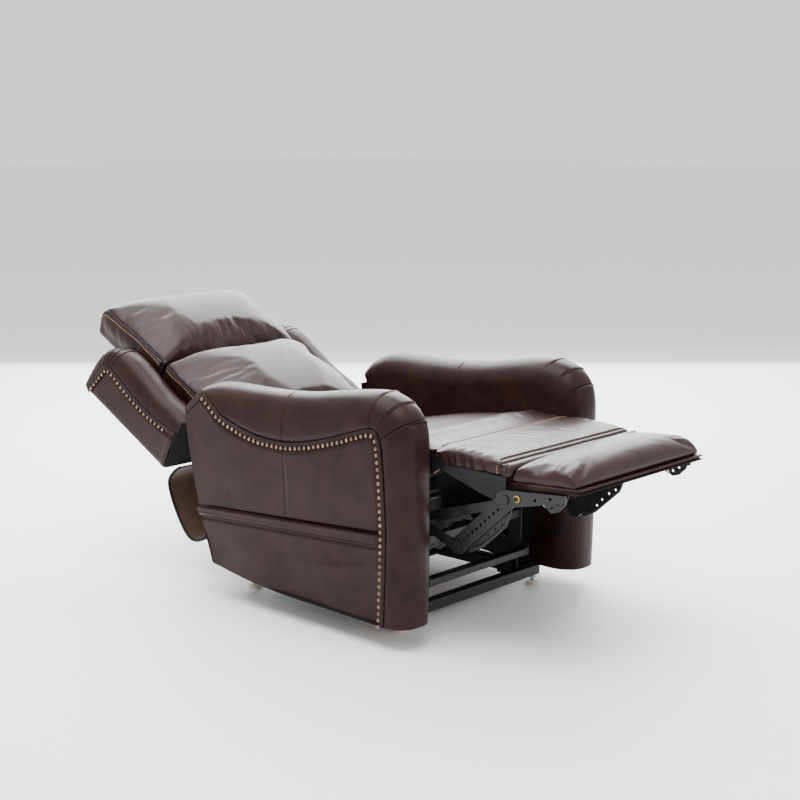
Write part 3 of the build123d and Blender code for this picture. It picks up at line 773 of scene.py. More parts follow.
def coons(top, bottom, rear, front, across, down):
    """Grid that fills the outline of four curves; across and down are the shares that it is cut at."""
    t, b = along_curve(top, across), along_curve(bottom, across)
    r, f = along_curve(rear, down), along_curve(front, down)
    u = across[None, :, None]
    v = down[:, None, None]
    lines = (1 - v) * t[None] + v * b[None] + (1 - u) * r[:, None] + u * f[:, None]
    corners = (1 - u) * (1 - v) * t[0] + u * (1 - v) * t[-1] + (1 - u) * v * b[0] + u * v * b[-1]
    return lines - corners


def line_height(line, y):
    """Height of a straight line of two side points at y."""
    (y0, z0), (y1, z1) = line
    return z0 + (z1 - z0) * (y - y0) / (y1 - y0)


def arm_waves(p, fade):
    """Shallow waves of leather that is stretched by hand, in metres."""
    y, z = p[..., 0], p[..., 1]
    return fade * (0.0014 * np.sin(9 * y + 14 * z) + 0.0009 * np.sin(21 * y - 6 * z + 1.3))


def upper_puff(p):
    """How far the outer side panel stands proud above its fold."""
    y, z = p[..., 0], p[..., 1]
    above = z - line_height(BAND_TOP, y)
    puff = 0.0025 * smoothstep(above, 0, 0.12) + arm_waves(p, 0.7 * smoothstep(above, 0.02, 0.1))
    puff -= 0.0030 * bell(above, 0.0035)
    puff -= 0.0011 * bell(y - np.interp(z, *PANEL_SEAM), 0.0036)
    return puff


def lower_puff(p):
    """How far the panel stands proud below its fold: a folded edge, then soft drapes to the hem."""
    y, z = p[..., 0], p[..., 1]
    below = line_height(BAND_TOP, y) - z
    width = line_height(BAND_TOP, y) - line_height(BAND_LOW, y)
    puff = 0.0075 * (1 - bell(below, 0.0026)) * (1 - smoothstep(below, width - 0.003, width + 0.010))
    puff += 0.0015 * bell(below - 0.006, 0.004)
    puff -= 0.0026 * bell(below - width - 0.010, 0.006)
    lean = line_height(((0.25, 0.09), (-0.43, 0.215)), y)
    puff -= 0.009 * smoothstep(lean - z, -0.01, 0.09)
    puff += 0.0035 * bell(z - lean, 0.016) * smoothstep(-y, -0.1, 0.3)
    puff += 0.0030 * bell(z - line_height(((0.05, 0.08), (-0.43, 0.135)), y), 0.012) * smoothstep(
        -y, -0.05, 0.1
    )
    return puff + arm_waves(p, 2.2 * smoothstep(below, 0.03, 0.12))


def side_patch(name, side, flat, puff):
    """Panel of an arm's outer side, sunk where it meets the nailed edge."""
    edge = np.minimum(1, distance_grid(flat, ARM_OUTER[2:]) / 0.03)
    puff = puff * smoothstep(edge, 0, 1) - 0.003 * (1 - smoothstep(edge, 0.2, 1))
    verts = np.dstack([side * (BODY_WIDTH - 0.003 + puff), flat[..., 0], flat[..., 1]])
    return new_piece(name, verts.reshape(-1, 3), grid_faces(*flat.shape[:2], flip=side > 0), SIDE_LEATHER)


def make_arm(name, side):
    marks = [(station, 0.022, 0.0055, 0.0032, 0) for station in PLEATS]
    marks.append((ROLL_SEAM, 0.018, 0.0022, 0.0005, 1))
    xs = (side * (BODY_WIDTH - 0.001), side * RIDGE_X, side * ARM_INNER)
    grid, _ = padded_band(ARM_OUTER, ARM_RIDGE, ARM_INSIDE, xs, side_point, marks)
    roll = band_mesh(f"{name}_arm_roll_skin", grid, SIDE_LEATHER)
    done(roll, "chair", "leather", f"{name}_arm_roll")

    across = np.linspace(0, 1, 260)
    band = [BAND_TOP[0], (-0.080, line_height(BAND_TOP, -0.080)), (-0.436, line_height(BAND_TOP, -0.436))]
    upper = coons(ARM_OUTER[: CORNER + 1], band, ARM_REAR[:2] + [BAND_TOP[0]],
                  ARM_OUTER[CORNER:BAND_STATION + 1], across, 1 - np.linspace(1, 0, 110) ** 1.25)
    panel = side_patch(f"{name}_arm_side", side, upper, upper_puff(upper))
    done(panel, "chair", "leather", f"{name}_arm_outer_panel")
    down = np.unique(
        np.concatenate([np.linspace(0, 0.05, 24), np.linspace(0.05, 0.3, 36), np.linspace(0.3, 1, 70)])
    )
    lower = coons(band, ARM_HEM, [BAND_TOP[0]] + ARM_REAR[3:], ARM_OUTER[BAND_STATION:], across, down)
    skirt = side_patch(f"{name}_arm_side_lower", side, lower, lower_puff(lower))
    done(skirt, "chair", "leather")

    shares = (np.linspace(0, 1, 60), np.linspace(0, 1, 50))
    inside = coons(ARM_INSIDE[: CORNER + 1], [(0.222, 0.101), (-0.089, 0.069), (-0.414, 0.060)],
                   [(0.300, 0.520), (0.276, 0.262), (0.222, 0.101)], ARM_INSIDE[CORNER:], *shares)
    verts = np.dstack([np.full(inside.shape[:2], side * ARM_INNER), inside[..., 0], inside[..., 1]])
    lining = new_piece(
        f"{name}_arm_lining", verts.reshape(-1, 3), grid_faces(50, 60, flip=side < 0), SIDE_LEATHER
    )
    cloth_edge = -0.355
    lining.data.materials.append(DUST_CLOTH)
    for face in lining.data.polygons:
        if face.center.y > cloth_edge and face.center.z < 0.36:
            face.material_index = 1
    done(lining, "chair", "leather", f"{name}_arm_inner_panel")
    # The seam is a thin tube of the darker leather. Its dark colour is painted shade of the seam's groove.
    seam_line = [(side * ARM_INNER, *p) for p in even([(-0.051, 0.548), (-0.046, 0.50), (-0.040, 0.44)], 30)]
    seam = tube(f"{name}_arm_inner_seam", seam_line, 0.0009, SEAM_SHADE_LEATHER, 8)
    done(seam, "chair", "leather")

    for part, line, finish, slot in (
        ("rear", ARM_REAR, SIDE_LEATHER, "leather"), ("underside", ARM_HEM, DUST_CLOTH, "dust_cloth")
    ):
        edge = even(line, 60)
        verts = [(x, *p) for x in (side * (BODY_WIDTH - 0.004), side * ARM_INNER) for p in edge]
        strip = new_piece(f"{name}_arm_{part}", verts, grid_faces(2, 60), finish)
        done(strip, "chair", slot)

    face = side * (BODY_WIDTH + 0.0005)
    nail_path = [side_point(face, p) for p in inset(ARM_OUTER[2:], 0.0112)]
    nails = nail_heads(f"{name}_arm_nails", dense(nail_path), (side, 0, 0), 0.0172, 0.0052, BRASS)
    done(nails, "chair", None)
    # The piping, and the two dark tubes of painted groove shade on either side of it.
    for k, (step, radius, finish) in enumerate(PIPING_AND_SHADE_TUBES):
        path = dense([side_point(face - side * 0.4 * radius, p) for p in inset(ARM_OUTER[2:], step)])
        piping_and_shade_tube = tube(f"{name}_arm_piping_and_shade_{k}", path, radius, finish)
        done(piping_and_shade_tube, "chair", "leather")
    return roll


def distance_grid(flat, line):
    """Distance of each grid point to a side line."""
    path = [(0, *p) for p in dense(line)]
    co = np.column_stack([np.zeros(flat[..., 0].size), flat.reshape(-1, 2)])
    return distance_to_path(co, path).reshape(flat.shape[:2])


def inset(line, distance):
    """The line moved inward, towards the middle of the panel, by distance."""
    p = even(line, 90)
    t = np.gradient(p, axis=0)
    t /= np.linalg.norm(t, axis=1, keepdims=True)
    n = np.column_stack([-t[:, 1], t[:, 0]])
    return p + n * distance


# ---------------------------------------------------------------- cushions
def swell(name, node, shape, voxel, pressure, cap, held, grow=0.0, smoothing=4):
    """A CAD cushion, reshaped, remeshed and blown up as cloth. held(co) is how firmly a point is kept."""
    mesh = frame["nodes"][node].data.copy()
    mesh.name = name
    obj = bpy.data.objects.new(name, mesh)
    bpy.context.scene.collection.objects.link(obj)
    weld = obj.modifiers.new("weld", "WELD")
    weld.merge_threshold = 0.0002
    bake(obj)
    set_coordinates(obj.data, shape(coordinates(obj.data)))
    remesh = obj.modifiers.new("remesh", "REMESH")
    remesh.mode = "VOXEL"
    remesh.voxel_size = voxel
    bake(obj)
    blow_up(obj, pressure, cap, held, grow)
    smooth = obj.modifiers.new("smooth", "SMOOTH")
    smooth.factor = 0.5
    smooth.iterations = smoothing
    subdivide = obj.modifiers.new("subdivide", "SUBSURF")
    subdivide.levels = 1
    subdivide.render_levels = 1
    bake(obj)
    return obj


def blow_up(obj, pressure, cap, held, grow):
    """Run the cloth with pressure and no gravity, and limit how far any point moves."""
    start = coordinates(obj.data)
    group = obj.vertex_groups.new(name="held")
    for i, weight in enumerate(held(start)):
        if weight > 0.01:
            group.add([i], float(weight), "REPLACE")
    cloth = obj.modifiers.new("cloth", "CLOTH")
    settings = cloth.settings
    settings.quality = 5
    settings.mass = 0.35
    settings.tension_stiffness = 18
    settings.compression_stiffness = 18
    settings.shear_stiffness = 6
    settings.bending_stiffness = 0.8
    settings.use_pressure = True
    settings.uniform_pressure_force = pressure
    settings.effector_weights.gravity = 0
    settings.shrink_min = -grow
    settings.vertex_group_mass = "held"
    cloth.point_cache.frame_start = 1
    cloth.point_cache.frame_end = 20
    scene = bpy.context.scene
    for step in range(1, 21):
        scene.frame_set(step)
    bake(obj)
    scene.frame_set(1)
    moved = coordinates(obj.data) - start
    far = np.linalg.norm(moved, axis=1, keepdims=True)
    limited = start + moved * np.minimum(1, cap / np.maximum(far, 1e-9))
    set_coordinates(obj.data, limited)
    obj.vertex_groups.clear()


def crown(x, half, edge, power=2.6):
    """1 in the middle of a cushion's width, edge at its sides."""
    return edge + (1 - edge) * (1 - np.clip(np.abs(x) / half, 0, 1) ** power)


SEAT_PAD_HALF = 0.278
SEAM_ONE_Y = -0.484
SEAM_TWO_Y = -0.681


def seat_height(co):
    """Height that the seat and the pad in front of it share where they are sewn together."""
    height = np.interp(co[:, 1], (-0.70, -0.57, -0.484, -0.30), (0.506, 0.5185, 0.5155, 0.5035))
    return height - 0.013 * (np.clip(np.abs(co[:, 0]) - 0.225, 0, 1) / 0.053) ** 2


def level(obj, centre, width, drop=0.0):
    """Bring the top of a piece to the shared seat height round a line across the seat."""
    co, n = coordinates(obj.data), normals(obj.data)
    weight = bell(co[:, 1] - centre, width) * smoothstep(n[:, 2], 0.15, 0.5)
    co[:, 2] += weight * (seat_height(co) - drop - co[:, 2])
    set_coordinates(obj.data, co)


def across_seat(y, half, count=120):
    """A line of points over the seat from side to side."""
    x = np.linspace(-half, half, count)
    return [(a, y, 0.53) for a in x]


def make_seat():
    def shape(co):
        co[:, 0] *= (SEAT_PAD_HALF - 0.003) / PAD_HALF
        middle = crown(co[:, 0], SEAT_PAD_HALF, 0.0, 2.6)
        top = smoothstep(co[:, 2] - (0.30 - 0.18 * co[:, 1]), 0.02, 0.1)
        co[:, 2] += top * (0.006 * middle - 0.008)
        return co

    def held(co):
        bottom = line_height(((-0.47, 0.462), (0.178, 0.336)), co[:, 1])
        return np.maximum(
            1 - smoothstep(co[:, 2] - bottom, 0.01, 0.04), 1 - smoothstep(co[:, 1], -0.46, -0.40)
        )

    seat = swell("seat_pad", "seat_cushion", shape, 0.006, 2.6, 0.010, held, 0.012)
    level(seat, -0.480, 0.07, 0.002)
    rng = np.random.default_rng(11)
    for _ in range(11):
        x, y = rng.uniform(-0.24, 0.2), rng.uniform(-0.45, -0.30)
        fold(seat, (x, y, 0.5), (x + rng.uniform(-0.02, 0.16), y + rng.uniform(0.06, 0.16), 0.5),
             rng.uniform(0.012, 0.022), rng.uniform(0.0012, 0.0026))
    seat.data.materials.clear()
    seat.data.materials.append(SEAT_LEATHER)
    done(seat, "chair", "leather", "seat_cushion")


def make_chaise():
    """The leather pad that carries on from the seat onto the footrest, over the fold."""
    def shape(co):
        y, z = co[:, 1].copy(), co[:, 2].copy()
        co[:, 1] = np.interp(y, [-0.686, -0.505], [-0.690, -0.479])
        co[:, 0] *= (SEAT_PAD_HALF - 0.002 + 0.009 * bell(co[:, 1] + 0.498, 0.028)) / PAD_HALF
        upper = smoothstep(z, 0.475, 0.507)
        co[:, 2] += upper * (0.004 * crown(co[:, 0], SEAT_PAD_HALF, 0.0, 2.2) - 0.004) - (1 - upper) * 0.004
        return co

    def held(co):
        ends = 1 - smoothstep(co[:, 1], -0.690, -0.680) + smoothstep(co[:, 1], -0.495, -0.483)
        return np.clip(ends + (1 - smoothstep(co[:, 2], 0.470, 0.480)), 0, 1)

    pad = swell("chaise_cover", "chaise_pad", shape, 0.0048, 2.4, 0.007, held, 0.004, 12)
    rng = np.random.default_rng(5)
    for k in range(13):
        x = -0.262 + 0.028 * k + rng.uniform(-0.008, 0.008)
        reach = rng.uniform(0.08, 0.17)
        fold(pad, (x, -0.49, 0.51), (x + rng.uniform(0.2, 0.9) * reach, -0.49 - reach, 0.51),
             rng.uniform(0.012, 0.022), rng.uniform(0.0012, 0.0026))
    for k in range(7):
        y = -0.505 - 0.024 * k + rng.uniform(-0.006, 0.006)
        for side in SIDES.values():
            fold(pad, (side * 0.277, y, 0.500), (side * 0.277, y - rng.uniform(0, 0.02), 0.468),
                 rng.uniform(0.005, 0.009), rng.uniform(0.0012, 0.0026), facing=(side, 0, 0))
            fold(pad, (side * 0.270, y, 0.51), (side * (0.22 + 0.02 * rng.uniform()), y - 0.012, 0.51),
                 rng.uniform(0.006, 0.010), rng.uniform(0.001, 0.0022))
    level(pad, -0.484, 0.022)
    pad.data.materials.clear()
    pad.data.materials.append(SEAT_LEATHER)
    for y, depth in ((SEAM_ONE_Y, 0.0030), (SEAM_TWO_Y, 0.0035)):
        press(pad, soften(snap(pad, across_seat(y, 0.270))), 0.0032, depth)
    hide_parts("chaise_pad")
    pieces = [pad]
    for k, y in enumerate((SEAM_ONE_Y - 0.0045, SEAM_TWO_Y + 0.0055)):
        edge = SEAT_PAD_HALF + 0.004
        line = [(-edge, y, z) for z in np.linspace(0.466, 0.500, 12)] + across_seat(y, 0.268)
        line += [(edge, y, z) for z in np.linspace(0.500, 0.466, 12)]
        on = soften(snap(pad, line, 0.0005), 3)
        seam = stitches(f"chaise_stitches_{k}", dense(on, 0.002), TAN_THREAD, radius=0.0009)
        pieces.append(seam)
    for piece in pieces:
        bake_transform(piece)


BOARD_TOP = ((-0.712, 0.455), (-0.906, 0.467))


def make_footrest():
    def shape(co):
        y = co[:, 1].copy()
        above = co[:, 2] - line_height(BOARD_TOP, y)
        upper = smoothstep(above, 0.002, 0.03)
        x = np.clip(np.abs(co[:, 0]) / 0.27, 0, 1)
        co[:, 2] += upper * (0.008 * (1 - x**2.6) - 0.004 - 0.010 * x**7)
        co[:, 2] += (1 - smoothstep(above, 0.002, 0.012)) * 0.006 * bell(y + 0.80, 0.06) * x**10
        co[:, 0] *= 1 - 0.014 * bell(y + 0.80, 0.06)
        return co

    def held(co):
        return 1 - smoothstep(co[:, 2] - line_height(BOARD_TOP, co[:, 1]), 0.003, 0.012)

    pad = swell("footrest_pillow", "footrest_pad", shape, 0.0045, 3.0, 0.009, held, 0.0, 12)
    rng = np.random.default_rng(8)
    for side in SIDES.values():
        for _ in range(8):
            y = rng.uniform(-0.90, -0.80)
            fold(
                pad,
                (side * 0.272, y, 0.49),
                (side * rng.uniform(0.19, 0.235), y + rng.uniform(0.0, 0.02), 0.50),
                rng.uniform(0.005, 0.010),
                rng.uniform(0.001, 0.0022),
            )
    pad.data.materials.clear()
    pad.data.materials.append(SEAT_LEATHER)
    done(pad, "footrest", "leather", "footrest_pad")

    wrap_board(
        [
            (-0.712, 0.4365), (-0.905, 0.4525), (-0.9085, 0.460), (-0.906, 0.4675),
            (-0.712, 0.4553), (-0.7085, 0.446),
        ]
    )
    roll_line = [(x, -0.7005 + 0.0015 * math.sin(30 * x), 0.4835) for x in np.linspace(-0.272, 0.272, 120)]
    roll = tube("footrest_rear_roll", roll_line, ROLL_RADIUS, SEAT_LEATHER, 24)
    done(roll, "footrest", "leather", "footrest_roll")
    for k, side in enumerate(SIDES.values()):
        knot = ring_fold(f"footrest_roll_end_{k}", (side * 0.2722, -0.7005, 0.4835), side)
        done(knot, "footrest", "leather")


ROLL_RADIUS = 0.0168


def ring_fold(name, centre, side):
    """Gathered end of a rolled edge: a shallow dome with radial folds."""
    verts, sides = [], 40
    for size, height in ((1.0, 0.0), (0.93, 0.003), (0.7, 0.0055), (0.4, 0.0045), (0.12, 0.002)):
        for k in range(sides):
            a = 2 * math.pi * k / sides
            wave = 1 + 0.05 * math.sin(8 * a)
            reach = ROLL_RADIUS * size * wave
            verts.append((centre[0] + side * height * wave, centre[1] + reach * math.cos(a),
                          centre[2] + reach * math.sin(a)))
    faces = grid_faces(5, sides, wrap=True)
    faces.append(tuple(range(4 * sides, 5 * sides)))
    return new_piece(name, verts, faces, SEAT_LEATHER)


def wrap_board(outline):
    """Leather-wrapped footrest board with a seam along its front edge."""
    ring = even([*outline, outline[0]], 80)[:-1]
    xs = np.linspace(-0.2675, 0.2675, 60)
    verts = [(x, *p) for x in xs for p in ring]
    faces = grid_faces(len(xs), len(ring), wrap=True)
    faces.append(tuple(range(len(ring)))[::-1])
    faces.append(tuple(range(len(verts) - len(ring), len(verts))))
    board = new_piece("footrest_board_cover", verts, faces, SIDE_LEATHER)
    done(board, "footrest", "leather", "footrest_board")
    # The front seam is a thin tube of the darker leather. Its dark colour is painted shade of the seam's
    # groove.
    seam = tube(
        "footrest_board_seam", [(x, -0.9085, 0.4605) for x in np.linspace(-0.2560, 0.2560, 80)], 0.0015,
        SEAM_SHADE_LEATHER, 8
    )
    done(seam, "footrest", "leather")


def cushion_edge(profile, x, count=140):
    """Line along a back cushion's side edge: profile gives (along, out) points."""
    line = even(profile, count)
    return from_back(np.column_stack([np.full(count, x), line]))


BACK_PAD_HALF = 0.283
BACK_SEAM = [(-0.150, 0.178), (-0.050, 0.187), (0.060, 0.188), (0.150, 0.187), (0.215, 0.190), (0.236, 0.190)]
HEAD_PAD_HALF = 0.281
HEAD_SEAM = [
    (0.244, 0.186), (0.252, 0.194), (0.300, 0.194), (0.400, 0.191), (0.480, 0.187), (0.530, 0.181),
    (0.551, 0.168), (0.556, 0.135),
]


def pad_shape(base, half, cad_half, edge_share):
    """Reshape a back cushion: full in the middle, and lower along its two side seams."""
    def shape(co):
        local = to_back(co)
        local[:, 0] *= half / cad_half
        share = edge_share(local[:, 1])
        x = np.clip(np.abs(local[:, 0]) / half, 0, 1)
        full = share + (1 - share) * (1 - x**5)
        local[:, 2] = base + (local[:, 2] - base) * np.where(local[:, 2] > base, full, 1)
        return from_back(local)

    return shape


def make_back_cushion():
    shape = pad_shape(
        0.135, BACK_PAD_HALF - 0.004, PAD_HALF, lambda s: 0.42 + 0.2 * smoothstep(s, 0.15, 0.23)
    )

    def held(co):
        local = to_back(co)
        seam = bell(np.abs(local[:, 0]) - BACK_PAD_HALF, 0.012) * bell(local[:, 2] - 0.187, 0.012)
        return np.maximum(1 - smoothstep(local[:, 2], 0.145, 0.165), 0.9 * seam)

    pad = swell("back_pillow", "back_cushion", shape, 0.0055, 6.0, 0.024, held, 0.02, 8)
    pad.data.materials.clear()
    pad.data.materials.append(SEAT_LEATHER)
    trim_edges(pad, "back_pillow", BACK_SEAM, BACK_PAD_HALF, "back")
    done(pad, "back", "leather", "back_cushion")


def trim_edges(pad, name, profile, half, body):
    """Piping and tan stitching down both side edges of a cushion."""
    for label, side in SIDES.items():
        line = cushion_edge(profile, side * half)
        press(pad, soften(snap(pad, line)), 0.0035, 0.0025)
        # The piping tube is real. Its darker colour is painted shade of the seam it sits in.
        piping = tube(f"{name}_{label}_piping", soften(snap(pad, line, 0.0008)), 0.0021, SEAM_SHADE_LEATHER, 8)
        done(piping, body, "leather")
        lower = to_back(line)
        lower[:, 2] -= 0.008
        lower[:, 0] = side * (half + 0.02)
        on = soften(snap(pad, from_back(lower), 0.0005))
        row_of = stitches(f"{name}_{label}_stitches", on, TAN_THREAD, radius=0.0009)
        done(row_of, body, "leather")


def make_headrest():
    base = 0.1085
    reshape = pad_shape(base, HEAD_PAD_HALF - 0.004, 0.260, lambda s: 0.60 + 0.28 * smoothstep(s, 0.46, 0.55))

    def shape(co):
        local = to_back(reshape(co))
        local[:, 2] -= 0.014 * (1 - smoothstep(local[:, 2], 0.109, 0.125))
        return from_back(local)

    def held(co):
        local = to_back(co)
        seam = bell(np.abs(local[:, 0]) - HEAD_PAD_HALF, 0.012) * bell(local[:, 2] - 0.192, 0.014)
        return np.maximum(1 - smoothstep(local[:, 2], 0.105, 0.125), 0.9 * seam)

    pad = swell("head_pillow", "headrest_cushion", shape, 0.0055, 5.0, 0.017, held, 0.02, 8)
    rng = np.random.default_rng(3)
    out = np.array(back_point(0, (0, 1))) - np.array(back_point(0, (0, 0)))
    for k in range(24):
        x = -0.17 + 0.0155 * k + rng.uniform(-0.006, 0.006)
        reach = rng.uniform(0.03, 0.11)
        lean = rng.uniform(-0.02, 0.02)
        start = back_point(x, (0.243, 0.205))
        end = back_point(x + lean, (0.255 + reach, 0.245))
        fold(pad, start, end, rng.uniform(0.004, 0.009), rng.uniform(0.0008, 0.0024), facing=tuple(out))
    pad.data.materials.clear()
    pad.data.materials.append(SEAT_LEATHER)
    trim_edges(pad, "head_pillow", HEAD_SEAM, HEAD_PAD_HALF, "headrest")
    done(pad, "headrest", "leather", "headrest_cushion")


# ---------------------------------------------------------------- wings of the back
WING_OUTER = [
    (0.000, 0.118), (0.052, 0.110), (0.132, 0.102), (0.210, 0.104), (0.270, 0.111), (0.310, 0.117),
    (0.338, 0.118), (0.356, 0.108), (0.376, 0.060), (0.398, 0.002),
]
WING_RIDGE = [
    (-0.004, 0.163), (0.052, 0.166), (0.120, 0.164), (0.185, 0.170), (0.240, 0.177), (0.290, 0.181),
    (0.340, 0.175), (0.385, 0.152), (0.418, 0.092), (0.434, 0.006),
]
WING_INSIDE = [
    (0.000, 0.112), (0.052, 0.114), (0.120, 0.112), (0.185, 0.115), (0.240, 0.120), (0.285, 0.124),
    (0.322, 0.122), (0.352, 0.106), (0.378, 0.062), (0.390, 0.006),
]
WING_INNER_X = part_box("left_wing_pad")[0].x
WING_RIDGE_X = 0.334
WING_CORNER = 7
WING_PLEATS = (5.7, 6.15, 6.6, 7.05, 7.5)


def make_wing(name, side):
    marks = [(station, 0.02, 0.0022, 0.0013, 0) for station in WING_PLEATS]
    xs = (side * (BACK_HALF - 0.001), side * WING_RIDGE_X, side * WING_INNER_X)
    grid, _ = padded_band(WING_OUTER, WING_RIDGE, WING_INSIDE, xs, back_point, marks, (200, 30, 24))
    roll = band_mesh(f"{name}_wing_roll_skin", grid, SIDE_LEATHER)
    done(roll, "back", "leather", f"{name}_wing_pad")

    shares = (np.linspace(0, 1, 140), np.linspace(0, 1, 60))
    flat = coons(WING_OUTER[: WING_CORNER + 1], [(0.0, 0.0), (0.2, 0.0), (0.398, 0.002)],
                 [(0.0, 0.118), (0.0, 0.06), (0.0, 0.0)], WING_OUTER[WING_CORNER:], *shares)
    edge = np.minimum(1, distance_grid(flat, WING_OUTER) / 0.025)
    puff = 0.002 * smoothstep(edge, 0, 1) - 0.003 * (1 - smoothstep(edge, 0.2, 1))
    puff = puff - 0.002 * (1 - smoothstep(flat[..., 1], 0.0, 0.012))
    puff = puff + 0.002 * bell(flat[..., 0] - 0.012, 0.01) + arm_waves(flat, 0.5)
    verts = [back_point(side * (BACK_HALF - 0.003 + d), p) for d, p in zip(puff.ravel(), flat.reshape(-1, 2))]
    panel = new_piece(f"{name}_wing_side", verts, grid_faces(60, 140, flip=side > 0), SIDE_LEATHER)
    done(panel, "back", "leather", f"{name}_wing_panel")

    face = side * (BACK_HALF + 0.0002)
    nails_at = [back_point(face, p) for p in inset_back(WING_OUTER[1:], 0.0105)]
    nails = nail_heads(f"{name}_wing_nails", dense(nails_at), (side, 0, 0), 0.0165, 0.005, BRASS)
    done(nails, "back", None)
    # The piping, and the two dark tubes of painted groove shade on either side of it.
    for k, (step, radius, finish) in enumerate(PIPING_AND_SHADE_TUBES):
        path = [back_point(face - side * 0.4 * radius, p) for p in inset_back(WING_OUTER, step)]
        piping_and_shade_tube = tube(f"{name}_wing_piping_and_shade_{k}", dense(path), radius, finish)
        done(piping_and_shade_tube, "back", "leather")


def inset_back(line, distance):
    """A wing's edge line moved in towards the panel."""
    p = even(line, 70)
    t = np.gradient(p, axis=0)
    t /= np.linalg.norm(t, axis=1, keepdims=True)
    n = np.column_stack([t[:, 1], -t[:, 0]])
    return p + n * distance


def make_back_rear():
    """Leather over the back's rear, pulled smooth, with one middle seam."""
    s = np.linspace(-0.002, 0.399, 60)
    x = np.linspace(-0.385, 0.385, 120)
    grid_x, grid_s = np.meshgrid(x, s)
    t = -0.002 - 0.004 * crown(grid_x, 0.385, 0.0, 3) * np.sin(np.clip(grid_s / 0.4, 0, 1) * math.pi)
    t += 0.0015 * bell(grid_x, 0.0025)
    t += 0.004 * smoothstep(np.abs(grid_x), 0.372, 0.385)
    local = np.column_stack([grid_x.ravel(), grid_s.ravel(), t.ravel()])
    panel = new_piece("back_rear_skin", from_back(local), grid_faces(60, 120), SIDE_LEATHER)
    done(panel, "back", "leather", "back_rear_panel")


# ---------------------------------------------------------------- rear flap
FLAP_LINE = [
    (0.478, 0.316), (0.509, 0.296), (0.531, 0.258), (0.500, 0.180), (0.445, 0.112), (0.385, 0.116),
    (0.335, 0.170), (0.297, 0.222),
]


FLAP_HALF = 0.318
FLAP_ROWS = 90
FLAP_COLUMNS = 90
FLAP_HALF_THICK = 0.0022


def make_flap():
    """Leather flap that closes the gap under the back, suede on its inner face, bound at its sides."""
    half = FLAP_HALF
    line = even(FLAP_LINE, FLAP_ROWS)
    t = np.gradient(line, axis=0)
    t /= np.linalg.norm(t, axis=1, keepdims=True)
    n = np.column_stack([t[:, 1], -t[:, 0]])
    x = np.linspace(-half, half, FLAP_COLUMNS)
    verts = []
    for offset in (FLAP_HALF_THICK, -FLAP_HALF_THICK):
        for k, (p, out) in enumerate(zip(line, n)):
            wave = 0.004 * np.sin(11 * x + 0.05 * k) * math.sin(math.pi * k / (FLAP_ROWS - 1))
            for a, w in zip(x, wave):
                verts.append((a, *(p + out * (offset + w))))
    rows = len(line)
    columns = len(x)
    faces = grid_faces(rows, columns)
    back_side = [tuple(rows * columns + i for i in f[::-1]) for f in faces]
    rim = [r * columns for r in range(rows)]
    rim_end = [r * columns + columns - 1 for r in range(rows)]
    shift = rows * columns
    sides = []
    for edge in (rim, rim_end, list(range(columns)), list(range(shift - columns, shift))):
        sides += [(a, b, b + shift, a + shift) for a, b in zip(edge, edge[1:])]
    flap = new_piece("rear_flap_leather", verts, faces + back_side + sides, SIDE_LEATHER)
    flap.data.materials.append(SUEDE)
    for face in flap.data.polygons:
        if face.index < len(faces):
            face.material_index = 1
    tidy_normals(flap)
    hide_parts("rear_flap")
    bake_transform(flap)
    for k, side in enumerate(SIDES.values()):
        binding = tube(f"flap_binding_{k}", [(side * half, *p) for p in line], 0.004, DUST_CLOTH, 8)
        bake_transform(binding)


# ---------------------------------------------------------------- under the seat
DUST_MARGIN = 0.018


def make_dust_panel():
    low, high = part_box("front_dust_panel")
    x = np.linspace(low.x - DUST_MARGIN, high.x + DUST_MARGIN, 76)
    z = np.linspace(high.z, low.z, 36)
    grid_x, grid_z = np.meshgrid(x, z)
    middle = crown(grid_x, high.x, 0.0, 4) * np.sin((high.z - grid_z) / (high.z - low.z) * math.pi)
    y = (low.y + high.y) / 2 + 0.004 * middle + 0.0015 * np.sin(40 * grid_x + 8 * grid_z)
    verts = np.column_stack([grid_x.ravel(), y.ravel(), grid_z.ravel()])
    panel = new_piece("front_dust_cloth", verts, grid_faces(36, 70), DUST_CLOTH)
    done(panel, "chair", "dust_cloth", "front_dust_panel")


def plate(name, outline, x, thick, material, holes=(), hole_radius=0.005):
    """Flat steel plate in a side plane, with round holes through it."""
    mesh = bmesh.new()
    ring = [mesh.verts.new((0, *p)) for p in outline]
    mesh.faces.new(ring)
    data = bpy.data.meshes.new(name)
    solid = bmesh.ops.extrude_face_region(mesh, geom=mesh.faces[:])
    moved = [v for v in solid["geom"] if isinstance(v, bmesh.types.BMVert)]
    bmesh.ops.translate(mesh, verts=moved, vec=(thick, 0, 0))
    bmesh.ops.translate(mesh, verts=mesh.verts[:], vec=(x - thick / 2, 0, 0))
    bmesh.ops.recalc_face_normals(mesh, faces=mesh.faces[:])
    mesh.to_mesh(data)
    mesh.free()
    obj = bpy.data.objects.new(name, data)
    bpy.context.scene.collection.objects.link(obj)
    data.materials.append(material)
    for hole in holes:
        cutter = turned(
            "hole_cutter", (x - thick, *hole), (1, 0, 0),
            [(0, 0), (0, hole_radius), (2 * thick, hole_radius), (2 * thick, 0)], None, 20
        )
        cut = obj.modifiers.new("hole", "BOOLEAN")
        cut.solver = "EXACT"
        cut.object = cutter
        depsgraph = bpy.context.evaluated_depsgraph_get()
        cut_mesh = bpy.data.meshes.new_from_object(obj.evaluated_get(depsgraph))
        obj.modifiers.clear()
        obj.data = cut_mesh
        bpy.data.objects.remove(cutter)
    bevel = obj.modifiers.new("bevel", "BEVEL")
    bevel.width = 0.0006
    bevel.segments = 2
    bevel.limit_method = "ANGLE"
    depsgraph = bpy.context.evaluated_depsgraph_get()
    obj_mesh = bpy.data.meshes.new_from_object(obj.evaluated_get(depsgraph))
    obj.modifiers.clear()
    obj.data = obj_mesh
    return obj


